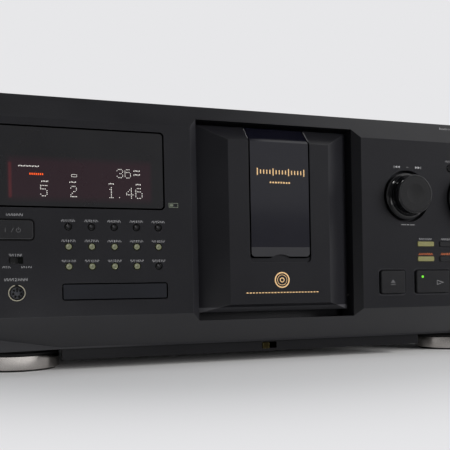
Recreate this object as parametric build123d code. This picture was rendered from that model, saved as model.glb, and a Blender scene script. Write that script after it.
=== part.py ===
"""Carousel disc changer: a wide case with a drop-down front door, a slotted turntable and a disc player.

Frame: millimetres, +Z up, +X to the right seen from the front, the front faces -Y.
The origin is on the floor under the middle of the outer box.
Depths are measured back (+Y) from the flat face of the front panel.
"""
from build123d import *
import math
import os

# ---------------------------------------------------------------- overall sizes
WIDTH = 430.0              # front panel, side to side
HEIGHT = 189.5             # floor to the top edge of the front panel
DEPTH = 485.0              # knob faces to the tips of the rear sockets
KNOB_REACH = 12.0          # how far the knobs stand out of the panel's flat face
SOCKET_REACH = 10.5        # how far the rear sockets stand out of the rear panel
FRONT_Y = -DEPTH / 2 + KNOB_REACH  # the panel's flat face
CASE_DEPTH = DEPTH - KNOB_REACH - SOCKET_REACH  # flat face to the rear panel's outer face
HALF_W = WIDTH / 2
LAYOUT_W = 430.0           # the layout of the front is drawn for this width
LAYOUT_H = 189.5           # and this height
ACROSS = WIDTH / LAYOUT_W
UP = HEIGHT / LAYOUT_H

# ---------------------------------------------------------------- clearances
RUN_GAP = 0.06             # radial gap of a shaft turning in its bore
SLIP_GAP = 0.2             # gap between pieces that slide past each other or lie close
SEAT_GAP = 0.15            # gap between a moving piece and what carries it
PRESS_GAP = 0.02           # gap round a pin or core that is fixed in its hole
INLAY_GAP = 0.35           # groove round a window let into the panel

# ---------------------------------------------------------------- front panel
PANEL_WALL = 3.0           # moulded wall
PANEL_BACK = 24.0          # depth of the panel's rear edge
TOP_BAND_Z = 170.5 * UP    # lower edge of the band that slopes back to the top
TOP_SETBACK = 14.7         # depth of the top edge
LOW_BAND_Z = 39.5 * UP     # upper edge of the band that slopes back to the bottom
PANEL_FOOT_Z = 16.2        # lowest edge of the panel
LIP = 1.3                  # upright lip along that edge
LOW_SETBACK = 22.0         # depth of the lip
FAIRING_INNER_X = 158.0 * ACROSS  # the wedge over each foot starts here
FAIRING_REACH = 10.0       # how far the wedge has come forward of the lip at the panel's end

# door recess
RECESS_HALF_W = 61.7 * ACROSS
RECESS_CHAMFER_W = 5.4     # width of the slanted strip each side of the recess
RECESS_CHAMFER_D = 5.6     # its depth
JAMB_WALL = 4.0            # side walls of the recess
STOP_DEPTH = 19.0          # light stop behind the door's edges
STOP_WALL = 2.0
STOP_REACH = 6.0
STOP_CLEAR = 16.0          # the stop starts this far above the hinge, clear of the door's heel

# ---------------------------------------------------------------- front door
DOOR_HALF_W = 60.0 * ACROSS  # at the back of the bevels
DOOR_FACE_HALF_W = 39.4 * ACROSS  # flat middle
DOOR_LOW_Z = 39.0 * UP
DOOR_HIGH_Z = 176.0 * UP
DOOR_FACE_LOW_Z = 44.9 * UP
DOOR_FACE_HIGH_Z = 163.2 * UP
DOOR_BEVEL_D = 12.9
DOOR_BACK = 15.0
DOOR_WALL = 2.4
DOOR_SETBACK = 0.3         # the door's face lies this far behind the panel's face
HINGE_DEPTH = 14.0
HINGE_Z = 50.0 * UP
HINGE_PIN_R = 1.2
HINGE_BOSS_R = 2.8
HINGE_BOSS_L = 7.0

# acrylic window in the door
DWIN_HALF_W = 23.8 * ACROSS
DWIN_LOW_Z = 78.4 * UP
DWIN_THICK = 1.4
DWIN_CHANNEL_LOW_Z = 75.0 * UP  # the channel runs on below the window as a finger notch
DWIN_CORNER_R = 3.0
DWIN_GAP = 0.3
NOTCH_R = 13.4             # thumb notch in the window's foot
NOTCH_RISE = 2.5

# ---------------------------------------------------------------- windows, display
WIN_LEFT_X = -206.0 * ACROSS
WIN_RIGHT_X = -86.4 * ACROSS
WIN_LOW_Z = 111.7 * UP
WIN_HIGH_Z = 164.9 * UP
WIN_THICK = 2.0
WIN_CORNER_R = 2.5
WIN_LEDGE = 2.0            # width of the ledge that carries a window
REMOTE_LEFT_X = -155.9 * ACROSS
REMOTE_RIGHT_X = -85.4 * ACROSS
REMOTE_LOW_Z = 50.3 * UP
REMOTE_HIGH_Z = 61.3 * UP
REMOTE_CORNER_R = 1.6
DISPLAY_LEFT_X = -191.0 * ACROSS
DISPLAY_RIGHT_X = -93.0 * ACROSS
DISPLAY_LOW_Z = 112.8 * UP
DISPLAY_HIGH_Z = 149.0 * UP
DISPLAY_THICK = 5.7

# ---------------------------------------------------------------- push buttons
TRAVEL = 0.8               # of every push button
FLANGE_OUT = 1.2           # how far a button's flange reaches past its hole
FLANGE_THICK = 1.0
STEM_R = 1.2
CAP_EDGE_R = 0.4           # rounded edge of the small caps
KEY_EDGE_R = 0.7           # rounded edge of the large keys
GRID_X0 = -151.4 * ACROSS  # small round buttons: first column
GRID_DX = 15.07 * ACROSS
GRID_COLUMNS = 5
GRID_Z0 = 99.2 * UP        # top row
GRID_DZ = 13.26 * UP
GRID_ROWS = 3
GRID_CAP_R = 2.05
GRID_HOLE_R = 2.6
GRID_PROUD = 0.5
MENU_ASIDE = 23.8          # small round button's place from the jog dial's centre
MENU_ABOVE = 23.9
MENU_CAP_R = 2.7
MENU_HOLE_R = 3.25
BAR_X0 = 122.85 * ACROSS   # centre of the first column of bar buttons
BAR_DX = 20.4 * ACROSS
BAR_COLUMNS = 3
BAR_Z0 = 89.2 * UP
BAR_DZ = 11.8 * UP
BAR_ROWS = 2
BAR_W = 14.9 * ACROSS
BAR_H = 3.9
BAR_CORNER_R = 0.9
BAR_PROUD = 0.7
KEY_Z = 59.4 * UP          # centre of the large keys
KEY_H = 17.5 * UP
KEY_PROUD = 1.6
KEY_CORNER_R = 1.6
KEY_GAP = 0.5
KEY_CHAMFER = 1.1          # slanted edge round the large keys' openings
OPEN_X = 92.55 * ACROSS
OPEN_W = 21.1 * ACROSS
PLAY_LEFT_X = 113.4 * ACROSS
PLAY_W = 30.0 * ACROSS
KEY_SPACING = 4.0
PAUSE_W = 25.0 * ACROSS
STOP_W = 25.0 * ACROSS
STANDBY_LEFT_X = -206.0 * ACROSS
STANDBY_RIGHT_X = -173.5 * ACROSS
STANDBY_Z = 96.75 * UP
STANDBY_H = 12.5 * UP
STANDBY_CORNER_R = 2.2
STANDBY_PROUD = 1.0
STANDBY_GAP = 0.4

# timer slide switch and keyboard socket
TIMER_X = -184.45 * ACROSS
TIMER_Z = 76.9 * UP
TIMER_SLOT_H = 4.5
TIMER_KNOB_W = 3.6
TIMER_CORNER_R = 0.5
TIMER_PROUD = 0.8
TIMER_TRAVEL = 4.4         # of the slide switch
SOCKET_X = -184.5 * ACROSS
SOCKET_Z = 55.7 * UP
SOCKET_RING_R = 5.3
SOCKET_CORE_R = 4.5
SOCKET_PROUD = 0.2
SOCKET_CORE_FRONT = 2.5    # depth of the core's face
SOCKET_HOLE_DEPTH = 4.0
SOCKET_PINS = 6
SOCKET_PIN_R = 0.45
SOCKET_PIN_RING = 2.7
SOCKET_PIN_ARC = 255.0     # round which the contact holes lie, open at the top
SOCKET_KEY = (0.6, 2.2)    # heights of the key slot above the socket's centre

# ---------------------------------------------------------------- knobs
SKIP_X = 106.6 * ACROSS
SKIP_Z = 126.5 * UP
SKIP_WELL_R = 20.35
SKIP_BASE_R = 18.1
SKIP_FACE_R = 15.0
JOG_X = 170.5 * ACROSS
JOG_Z = 126.0 * UP
JOG_WELL_R = 27.0
JOG_BASE_R = 24.8
JOG_FACE_R = 22.0
WELL_FLOOR = 6.0           # depth of the floor of a knob's well
WELL_WALL = 1.5
KNOB_SHAFT_R = 3.0
KNOB_EDGE_R = 1.2
KNOB_FLARE = 4.0           # height of the flared foot
KNOB_SKIRT = 2.0           # how far a knob reaches into its well
DISH_R = 60.0              # radius of the shallow hollow in a knob's face
DISH_DEPTH = 0.5
SLEEVE_R = 5.0
SLEEVE_LEN = 2.4
ENCODER_SIZE = 14.0
ENCODER_LEN = 6.4

# ---------------------------------------------------------------- boards behind the panel
BOARD_DEPTH = 9.0
BOARD_THICK = 1.6
BOARD_LOW_Z = 46.0 * UP
BOARD_HIGH_Z = 168.0 * UP
LEFT_BOARD_X = (-209.0 * ACROSS, -74.0 * ACROSS)
RIGHT_BOARD_X = (79.0 * ACROSS, 209.0 * ACROSS)
BOSS_R = 3.0
LEFT_BOSSES = [(x * ACROSS, z * UP) for x, z in ((-79.0, 158.0), (-79.0, 66.0), (-204.0, 66.0))]
RIGHT_BOSSES = [(x * ACROSS, z * UP) for x in (84.0, 205.0) for z in (158.0, 78.0)]
SWITCH_SIZE = 6.0
SWITCH_LEN = 2.4

# ---------------------------------------------------------------- case
SHEET = 1.2                # chassis and rear panel sheet
COVER_SHEET = 1.0
COVER_INSET = 2.0          # each side of the cover lies this far inside the panel's end
COVER_DROP = 0.4           # the cover's top lies this far under the panel's top edge
COVER_LOW_Z = 17.4
COVER_BEND_R = 2.5
MARGIN_Z = 16.0            # underside of the chassis where the feet stand
PAN_Z = 8.3                # underside of the deep pan
PAN_RIGHT_X = 131.0 * ACROSS
PAN_FOOT_GAP = 1.5         # between the pan and the left feet
PAN_BACK_GAP = 18.5        # between the pan and the rear panel's outer face
PAN_FRONT = 24.5
FLANGE_TOP_Z = 30.0
CLIP_HOLE_X = -1.5         # slot in the pan's front wall with a spring clip in it
CLIP_HOLE_W = 12.0
CLIP_HOLE_H = 5.0
CLIP_Z = 12.6
CLIP_HOLE_CORNER = 0.6
CLIP_W = 5.0
CLIP_WIRE = 0.5

# feet
FOOT_INSET = 30.0
FRONT_FOOT_DEPTH = 61.0
REAR_FOOT_INSET = 47.5
FOOT_R = 27.0
FOOT_TOP_R = 22.0
RING_LOW_Z = 1.5
RING_HIGH_Z = 11.5
RING_WALL = 2.0
RING_EDGE_R = 0.6
PAD_R = 24.0
FOOT_STEP = 1.5            # black collar above the ring

# ---------------------------------------------------------------- carousel
TABLE_SIDE_GAP = 18.0      # between the turntable and the case's sides
TABLE_FRONT_GAP = 29.0     # between the panel's face and the turntable
TABLE_BACK_GAP = 39.5      # between the turntable and the rear panel's outer face
TABLE_R = min(HALF_W - TABLE_SIDE_GAP, (CASE_DEPTH - TABLE_FRONT_GAP - TABLE_BACK_GAP) / 2)
CAROUSEL_DEPTH = TABLE_R + TABLE_FRONT_GAP         # depth of the vertical axis
OUTER_COMB_WIDTH = 11.0
COMB_SPACING = 89.0        # from the turntable's edge to the inner comb's outer face
OUTER_COMB_R = TABLE_R - OUTER_COMB_WIDTH          # inner face of the outer comb
INNER_COMB_R = TABLE_R - COMB_SPACING              # outer face of the inner comb
WELL_R = 70.0              # bore of the table
TABLE_Z = 26.0             # underside of the plate
TABLE_THICK = 3.0
SLOT_W = 1.9
OUTER_COMB_WALL = 2.0      # solid wall behind its slots
OUTER_COMB_Z = 60.0
INNER_COMB_WIDTH = 10.0
INNER_SLOT_W = 1.5
INNER_SLOT_DEPTH = 8.0
SLOT_PITCH = 2.09          # along the floors of the inner comb's slots
SLOTS = math.floor(2 * math.pi * (INNER_COMB_R - INNER_SLOT_DEPTH) / SLOT_PITCH)
INNER_COMB_Z = 41.0
GEAR_MODULE = 2.0
GEAR_INSET = 47.0          # from the turntable's edge to its ring gear's pitch circle
TABLE_TEETH = 2 * round((TABLE_R - GEAR_INSET) / GEAR_MODULE)
IDLER_TEETH = 40
PINION_TEETH = 12
GEAR_LOW_Z = 19.4
GEAR_RIM = 6.0             # radial width of the ring gear inside its teeth
TRAIN_ANGLE = 50.0         # direction from the carousel's axis to the motor, from +X towards +Y
GEAR_TOP_GAP = 0.6         # the idler and pinion end this far under the table's plate
IDLER_POST_R = 2.5
IDLER_SHOULDER = 2.5       # how far the post's shoulder reaches under the idler
MOTOR_R = 12.0
MOTOR_LEN = 30.0
MOTOR_SHAFT_R = 1.0
MOTOR_PLATE_Z = 26.4
MOTOR_PLATE = 1.6

# ---------------------------------------------------------------- door drive
DOOR_MODULE = 1.0
DOOR_GEAR_TEETH = 16
DOOR_PINION_TEETH = 12
DOOR_GEAR_GAP = 1.3        # between the jamb and the gears
DOOR_GEAR_X = RECESS_HALF_W + JAMB_WALL + DOOR_GEAR_GAP  # near face of the gears
DOOR_GEAR_W = 4.0
DOOR_PLATE_GAP = 1.0
DOOR_PLATE_X = DOOR_GEAR_X + DOOR_GEAR_W + DOOR_PLATE_GAP
DOOR_PLATE = 2.0
DOOR_MOTOR_R = 8.0
DOOR_MOTOR_LEN = 24.0

# ---------------------------------------------------------------- player deck in the well
DISC_R = 60.0
DISC_LIFT = 1.5            # a disc being played clears the table's plate by this
COLLAR_WALL = 3.4
COLLAR_TOP_Z = 33.0
LEDGE_W = 5.0
DECK_PLATE_X = -10.0       # face of the deck plate next to the disc
DECK_PLATE = 3.0
DECK_HALF_LEN = 60.0
DECK_TOP_Z = 124.0
SPINDLE_R = 1.5
SPINDLE_HOLE_R = 3.0
TURNTABLE_R = 15.0
HUB_NOSE_R = 7.4
SPINDLE_MOTOR_R = 13.0
SPINDLE_MOTOR_LEN = 9.0
RAIL_R = 1.5
RAIL_SPREAD = 13.0         # each rail lies this far above or below the spindle
RAIL_X = -18.0
RAIL_POST = 3.0            # size of the posts at the rails' ends
SLED_START = 17.0          # inner end of the sled, from the spindle
SLED_LEN = 14.0
SLED_H = 34.0
SLED_TRAVEL = 25.0
LENS_R = 4.0
LENS_TIP_X = -4.0
TURNTABLE_THICK = 2.4
DISC_HALF = 0.7            # half the space that a disc takes

# loading lever
LEVER_Z = 65.0
LEVER_OUT = 10.0           # its pivot lies this far outside the table
LEVER_LEN = 56.0
LEVER_W = 7.0
LEVER_THICK = 3.0
LEVER_PIN_R = 2.0
LEVER_EAR = 3.0

# ---------------------------------------------------------------- rear
SOCKET_BOARD_GAP = 13.5    # between the main board's face and the rear panel's outer face
SOCKET_BOARD_DEPTH = CASE_DEPTH - SOCKET_BOARD_GAP
MAIN_BOARD_X = (-60.0 * ACROSS, 140.0 * ACROSS)
MAIN_BOARD_Z = (26.0, 120.0)
JACK_R = 4.15
JACK_BORE_R = 1.7
JACK_LEN = 8.0
JACK_MARGIN = 3.0          # how far a jack's block reaches past it
JACK_X = (20.0, 40.0)
JACK_Z = (52.0, 70.0)
OPTICAL_X = 72.0
OPTICAL_W = 10.0
CONTROL_X = (96.0, 112.0)
CONTROL_R = 3.6
CONTROL_BORE_R = 1.8
CONTROL_REACH = 4.0
GLAND_INSET = 31.0
GLAND_X = GLAND_INSET - HALF_W
GLAND_Z = 40.0
GLAND_R = 7.0
GLAND_BORE_R = 3.0
GLAND_RIM = 2.5
TRANSFORMER_INSET = 9.0
TRANSFORMER_W = 46.0
TRANSFORMER_LEN = 42.0
TRANSFORMER_GAP = 22.5     # between its back and the rear panel's outer face
TRANSFORMER_BACK = CASE_DEPTH - TRANSFORMER_GAP
TRANSFORMER_X = (TRANSFORMER_INSET - HALF_W, TRANSFORMER_INSET + TRANSFORMER_W - HALF_W)
TRANSFORMER_DEPTH = (TRANSFORMER_BACK - TRANSFORMER_LEN, TRANSFORMER_BACK)
TRANSFORMER_TOP = 62.0
TRANSFORMER_LIMB_W = 7.7
TRANSFORMER_YOKE_H = 9.0
REST_W = 8.0               # folded tabs under the main board
PART_SIZE = 18.0           # heat sink on the main board
CAPACITOR_R = 6.0

# screws
SCREW_R = 1.5
SCREW_HEAD_R = 3.5
SCREW_HEAD = 1.8
SCREW_LEN = 5.0
TAB_HALF_W = 8.0           # tabs on the cover for the rear screws
SCREW_HOLE_R = 1.75
SIDE_SCREW_INSETS = (120.0, 82.5)                  # from the panel's face and from the rear
SIDE_SCREW_DEPTHS = (SIDE_SCREW_INSETS[0], CASE_DEPTH - SIDE_SCREW_INSETS[1])
SIDE_SCREW_Z = 24.0
REAR_SCREW_Z = 178.0 * UP
REAR_SCREW_X = tuple(side * 150.0 * ACROSS for side in (-1, 0, 1))


# ================================================================ helpers
def block(x0, x1, d0, d1, z0, z1):
    """Box between two widths, two depths behind the panel's face and two heights."""
    centre = Pos((x0 + x1) / 2, FRONT_Y + (d0 + d1) / 2, (z0 + z1) / 2)
    return centre * Box(x1 - x0, d1 - d0, z1 - z0)


def rod_y(x, z, radius, d0, d1):
    """Cylinder along Y."""
    return Pos(x, FRONT_Y + (d0 + d1) / 2, z) * Rot(90, 0, 0) * Cylinder(radius, d1 - d0)


def rod_x(depth, z, radius, x0, x1):
    """Cylinder along X."""
    return Pos((x0 + x1) / 2, FRONT_Y + depth, z) * Rot(0, 90, 0) * Cylinder(radius, x1 - x0)


def rod_z(x, depth, radius, z0, z1):
    """Cylinder along Z."""
    return Pos(x, FRONT_Y + depth, (z0 + z1) / 2) * Cylinder(radius, z1 - z0)


def rounded_y(x, z, width, height, corner, d0, d1):
    """Rounded rectangle seen from the front, running from depth d0 back to d1."""
    start = Plane(origin=(x, FRONT_Y + d0, z), x_dir=(1, 0, 0), z_dir=(0, 1, 0))
    return extrude(start * RectangleRounded(width, height, corner), amount=d1 - d0)


def side_profile(points, x0, x1):
    """Outline of (depth, height) points carried from x0 to x1."""
    outline = Polyline(*[(x0, FRONT_Y + depth, z) for depth, z in points], close=True)
    return extrude(make_face(outline), amount=x1 - x0, dir=(1, 0, 0))


def plan_profile(points, z0, z1):
    """Outline of (x, depth) points carried from z0 up to z1."""
    outline = Polyline(*[(x, FRONT_Y + depth, z0) for x, depth in points], close=True)
    return extrude(make_face(outline), amount=z1 - z0, dir=(0, 0, 1))


def polar(radius, angle_deg):
    """Point at a radius and an angle."""
    angle = math.radians(angle_deg)
    return (radius * math.cos(angle), radius * math.sin(angle))


def ring_face(outer_points, bore_radius):
    """Flat face with a polygon outside and a round bore."""
    outer = Wire(Polyline(*outer_points, close=True).edges())
    return Face(outer, [Wire([Edge.make_circle(bore_radius)])])


def gear_points(teeth, module, phase_deg):
    """Outline of a gear with one tooth centred at phase_deg."""
    pitch = 360 / teeth
    root = module * (teeth / 2 - 1.15)
    tip = module * (teeth / 2 + 0.9)
    points = []
    for i in range(teeth):
        centre = phase_deg + i * pitch
        for radius, share in ((root, -0.33), (tip, -0.12), (tip, 0.12), (root, 0.33)):
            points.append(polar(radius, centre + share * pitch))
    return points


def meshed_phase(phase_a, teeth_a, teeth_b, direction):
    """Phase of gear b, which lies in this direction from gear a, so that the teeth interleave."""
    offset = ((phase_a - direction) / (360 / teeth_a)) % 1
    return direction + 180 - (offset + 0.5) * 360 / teeth_b


# ================================================================ derived places
TOP_SLOPE = (HEIGHT - TOP_BAND_Z) / TOP_SETBACK
LOW_SLOPE = (LOW_BAND_Z - PANEL_FOOT_Z - LIP) / LOW_SETBACK
RECESS_FLOOR_Z = LOW_BAND_Z - RECESS_CHAMFER_D * LOW_SLOPE
JAMB_X = RECESS_HALF_W + JAMB_WALL
RECESS_TOP_Z = TOP_BAND_Z + RECESS_CHAMFER_D * TOP_SLOPE
FOOT_X = HALF_W - FOOT_INSET
REAR_FOOT_DEPTH = CASE_DEPTH - REAR_FOOT_INSET
PAN_LEFT_X = FOOT_R + PAN_FOOT_GAP - FOOT_X
PAN_BACK = CASE_DEPTH - PAN_BACK_GAP
MENU_X = JOG_X - MENU_ASIDE
MENU_Z = JOG_Z + MENU_ABOVE
CAROUSEL_Y = FRONT_Y + CAROUSEL_DEPTH
REAR_IN = CASE_DEPTH - SHEET  # inner face of the rear panel
COVER_HALF_W = HALF_W - COVER_INSET
COVER_IN_HALF_W = COVER_HALF_W - COVER_SHEET
COVER_TOP_Z = HEIGHT - COVER_DROP
CHASSIS_HALF_W = COVER_IN_HALF_W - SLIP_GAP
FLOOR_Z = MARGIN_Z + SHEET # top of the chassis margins
PAN_FLOOR_Z = PAN_Z + SHEET
BUTTON_FLANGE = PANEL_WALL + SEAT_GAP  # depth of the front of every button's flange
STEM_BACK = BOARD_DEPTH - SWITCH_LEN - TRAVEL - 2 * SLIP_GAP  # depth of a button's stem at rest
TIMER_SLOT_W = TIMER_KNOB_W + TIMER_TRAVEL + 2 * SLIP_GAP
ENCODER_BACK = BOARD_DEPTH + BOARD_THICK + ENCODER_LEN
SKIP_SHAFT_END = ENCODER_BACK + SEAT_GAP + SLEEVE_LEN
IDLER_TOP_Z = TABLE_Z - GEAR_TOP_GAP
SPINDLE_Z = TABLE_Z + TABLE_THICK + DISC_LIFT + DISC_R
IDLER_DISTANCE = GEAR_MODULE * (TABLE_TEETH + IDLER_TEETH) / 2
PINION_DISTANCE = IDLER_DISTANCE + GEAR_MODULE * (IDLER_TEETH + PINION_TEETH) / 2
IDLER_XY = polar(IDLER_DISTANCE, TRAIN_ANGLE)
PINION_XY = polar(PINION_DISTANCE, TRAIN_ANGLE)
IDLER_PHASE = meshed_phase(0, TABLE_TEETH, IDLER_TEETH, TRAIN_ANGLE)
PINION_PHASE = meshed_phase(IDLER_PHASE, IDLER_TEETH, PINION_TEETH, TRAIN_ANGLE)
DOOR_PINION_DEPTH = HINGE_DEPTH + DOOR_MODULE * (DOOR_GEAR_TEETH + DOOR_PINION_TEETH) / 2
DOOR_PINION_PHASE = meshed_phase(0, DOOR_GEAR_TEETH, DOOR_PINION_TEETH, 0)
LEVER_DEPTH = CAROUSEL_DEPTH + TABLE_R + LEVER_OUT
GRID = [(row, column, GRID_X0 + column * GRID_DX, GRID_Z0 - row * GRID_DZ)
        for row in range(GRID_ROWS) for column in range(GRID_COLUMNS)]
BARS = [(row, column, BAR_X0 + column * BAR_DX, BAR_Z0 - row * BAR_DZ)
        for row in range(BAR_ROWS) for column in range(BAR_COLUMNS)]
PLAY_X = PLAY_LEFT_X + PLAY_W / 2
PAUSE_X = PLAY_LEFT_X + PLAY_W + KEY_SPACING + PAUSE_W / 2
STOP_X = PAUSE_X + PAUSE_W / 2 + KEY_SPACING + STOP_W / 2
KEYS = {"open_close_button": (OPEN_X, OPEN_W), "play_button": (PLAY_X, PLAY_W),
        "pause_button": (PAUSE_X, PAUSE_W), "stop_button": (STOP_X, STOP_W)}
STANDBY_X = (STANDBY_LEFT_X + STANDBY_RIGHT_X) / 2
STANDBY_W = STANDBY_RIGHT_X - STANDBY_LEFT_X


# ================================================================ front panel
def panel_outline():
    """Side view of the panel: depths and heights of its outer faces."""
    return [(0, LOW_BAND_Z), (0, TOP_BAND_Z), (TOP_SETBACK, HEIGHT), (PANEL_BACK, HEIGHT),
            (PANEL_BACK, PANEL_FOOT_Z), (LOW_SETBACK, PANEL_FOOT_Z), (LOW_SETBACK, PANEL_FOOT_Z + LIP)]


def hollow_outline():
    """Side view of the hollow inside the panel, one wall in from its outer faces."""
    top_lean = math.atan(1 / TOP_SLOPE)
    low_lean = math.atan(1 / LOW_SLOPE)
    low_start = LOW_BAND_Z + PANEL_WALL * math.tan(low_lean / 2)
    low_end = PANEL_FOOT_Z + PANEL_WALL
    back = max(PANEL_BACK, PANEL_WALL + (low_start - low_end) / LOW_SLOPE) + PANEL_WALL
    return [(PANEL_WALL, low_start),
            (PANEL_WALL, TOP_BAND_Z - PANEL_WALL * math.tan(top_lean / 2)),
            (TOP_SETBACK + PANEL_WALL * math.tan(math.pi / 4 - top_lean / 2), HEIGHT - PANEL_WALL),
            (back, HEIGHT - PANEL_WALL),
            (back, low_end),
            (PANEL_WALL + (low_start - low_end) / LOW_SLOPE, low_end)]


def fairing(side):
    """Upright-faced wedge on the low band above a foot."""
    points = [(side * FAIRING_INNER_X, LOW_SETBACK), (side * HALF_W, LOW_SETBACK - FAIRING_REACH),
              (side * HALF_W, PANEL_BACK), (side * FAIRING_INNER_X, PANEL_BACK)]
    return plan_profile(points, PANEL_FOOT_Z, LOW_BAND_Z)


def window_pocket(x0, x1, z0, z1, corner):
    """Pocket for a window let in flush, with an opening behind it that leaves a ledge."""
    x = (x0 + x1) / 2
    z = (z0 + z1) / 2
    pocket = rounded_y(x, z, x1 - x0 + 2 * INLAY_GAP, z1 - z0 + 2 * INLAY_GAP,
                       corner + INLAY_GAP, -1, WIN_THICK)
    through = rounded_y(x, z, x1 - x0 - 2 * WIN_LEDGE, z1 - z0 - 2 * WIN_LEDGE,
                        corner, -1, PANEL_WALL + 1)
    return pocket + through


def key_opening(x, width):
    """Opening for a large key, with a slanted edge."""
    hole_w = width + 2 * KEY_GAP
    hole_h = KEY_H + 2 * KEY_GAP
    hole = rounded_y(x, KEY_Z, hole_w, hole_h, KEY_CORNER_R + KEY_GAP, -1, PANEL_WALL + 1)
    mouth = Plane(origin=(x, FRONT_Y, KEY_Z), x_dir=(1, 0, 0), z_dir=(0, 1, 0))
    throat = Plane(origin=(x, FRONT_Y + KEY_CHAMFER, KEY_Z), x_dir=(1, 0, 0), z_dir=(0, 1, 0))
    wide = mouth * RectangleRounded(hole_w + 2 * KEY_CHAMFER, hole_h + 2 * KEY_CHAMFER,
                                    KEY_CORNER_R + KEY_GAP + KEY_CHAMFER)
    narrow = throat * RectangleRounded(hole_w, hole_h, KEY_CORNER_R + KEY_GAP)
    return hole + loft([wide.face(), narrow.face()])


def make_front_panel():
    """Moulded panel with sloping bands, the door recess, wells, windows and button holes."""
    outer = side_profile(panel_outline(), -HALF_W, HALF_W)
    hollow = side_profile(hollow_outline(), -HALF_W + PANEL_WALL, HALF_W - PANEL_WALL)
    panel = outer + fairing(-1) + fairing(1) - hollow
    panel += block(-JAMB_X, JAMB_X, PANEL_WALL / 2, PANEL_BACK, RECESS_FLOOR_Z, HEIGHT) & outer
    panel -= block(-RECESS_HALF_W, RECESS_HALF_W, -1, PANEL_BACK + 1, RECESS_FLOOR_Z, RECESS_TOP_Z)
    mouth_half_w = RECESS_HALF_W + RECESS_CHAMFER_W
    panel -= plan_profile([(-mouth_half_w, 0), (-mouth_half_w, -1), (mouth_half_w, -1), (mouth_half_w, 0),
                           (RECESS_HALF_W, RECESS_CHAMFER_D), (-RECESS_HALF_W, RECESS_CHAMFER_D)],
                          PANEL_FOOT_Z, HEIGHT)
    panel += make_door_stop()
    panel -= rod_x(HINGE_DEPTH, HINGE_Z, HINGE_PIN_R + RUN_GAP, -JAMB_X - 1, JAMB_X + 1)
    panel += make_door_motor_bracket(outer)
    for x, z, radius in ((SKIP_X, SKIP_Z, SKIP_WELL_R), (JOG_X, JOG_Z, JOG_WELL_R)):
        panel += rod_y(x, z, radius + WELL_WALL, PANEL_WALL / 2, WELL_FLOOR + WELL_WALL)
        panel -= rod_y(x, z, radius, -1, WELL_FLOOR)
        panel -= rod_y(x, z, KNOB_SHAFT_R + SLIP_GAP, WELL_FLOOR - 1, WELL_FLOOR + WELL_WALL + 1)
    for x, z in LEFT_BOSSES + RIGHT_BOSSES:
        panel += rod_y(x, z, BOSS_R, PANEL_WALL / 2, BOARD_DEPTH)
        panel -= rod_y(x, z, SCREW_HOLE_R, PANEL_WALL + 1, BOARD_DEPTH + 1)
    for cut in panel_openings():
        panel -= cut
    return panel


def make_door_stop():
    """Thin flange behind the sides and top of the door that keeps light out."""
    low_z = HINGE_Z + STOP_CLEAR
    stop = block(-RECESS_HALF_W, RECESS_HALF_W, STOP_DEPTH, STOP_DEPTH + STOP_WALL, low_z, RECESS_TOP_Z)
    return stop - block(-RECESS_HALF_W + STOP_REACH, RECESS_HALF_W - STOP_REACH, STOP_DEPTH - 1,
                        STOP_DEPTH + STOP_WALL + 1, low_z - 1, RECESS_TOP_Z - STOP_REACH)


def make_door_motor_bracket(outer):
    """Upright plate behind the panel that carries the door motor."""
    x0, x1 = DOOR_PLATE_X, DOOR_PLATE_X + DOOR_PLATE
    leg = block(x0, x1, HINGE_DEPTH, PANEL_BACK, PANEL_FOOT_Z, HINGE_Z) & outer
    arm = block(x0, x1, HINGE_DEPTH, DOOR_PINION_DEPTH + DOOR_MOTOR_R, HINGE_Z - DOOR_MOTOR_R,
                HINGE_Z + DOOR_MOTOR_R)
    bore = rod_x(DOOR_PINION_DEPTH, HINGE_Z, MOTOR_SHAFT_R + SLIP_GAP, x0 - 1, x1 + 1)
    return leg + arm - bore


def panel_openings():
    """Windows' pockets and the openings for every button, switch and socket."""
    clear = PANEL_WALL + 1
    cuts = [window_pocket(WIN_LEFT_X, WIN_RIGHT_X, WIN_LOW_Z, WIN_HIGH_Z, WIN_CORNER_R),
            window_pocket(REMOTE_LEFT_X, REMOTE_RIGHT_X, REMOTE_LOW_Z, REMOTE_HIGH_Z, REMOTE_CORNER_R)]
    cuts += [rod_y(x, z, GRID_HOLE_R, -1, clear) for _, _, x, z in GRID]
    cuts += [rounded_y(x, z, BAR_W + 2 * SLIP_GAP, BAR_H + 2 * SLIP_GAP, BAR_CORNER_R + SLIP_GAP, -1, clear)
             for _, _, x, z in BARS]
    cuts += [key_opening(x, width) for x, width in KEYS.values()]
    cuts.append(rod_y(MENU_X, MENU_Z, MENU_HOLE_R, -1, clear))
    cuts.append(rounded_y(STANDBY_X, STANDBY_Z, STANDBY_W + 2 * STANDBY_GAP, STANDBY_H + 2 * STANDBY_GAP,
                          STANDBY_CORNER_R + STANDBY_GAP, -1, clear))
    cuts.append(rounded_y(TIMER_X, TIMER_Z, TIMER_SLOT_W, TIMER_SLOT_H, TIMER_CORNER_R, -1, clear))
    cuts.append(rod_y(SOCKET_X, SOCKET_Z, SOCKET_RING_R + SLIP_GAP, -1, clear))
    return cuts


# ================================================================ windows and display
def make_display_window():
    """Smoked acrylic window let in flush over the display."""
    return rounded_y((WIN_LEFT_X + WIN_RIGHT_X) / 2, (WIN_LOW_Z + WIN_HIGH_Z) / 2,
                     WIN_RIGHT_X - WIN_LEFT_X, WIN_HIGH_Z - WIN_LOW_Z, WIN_CORNER_R, 0, WIN_THICK)


def make_remote_window():
    """Small dark window over the remote sensor."""
    return rounded_y((REMOTE_LEFT_X + REMOTE_RIGHT_X) / 2, (REMOTE_LOW_Z + REMOTE_HIGH_Z) / 2,
                     REMOTE_RIGHT_X - REMOTE_LEFT_X, REMOTE_HIGH_Z - REMOTE_LOW_Z,
                     REMOTE_CORNER_R, 0, WIN_THICK)


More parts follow.
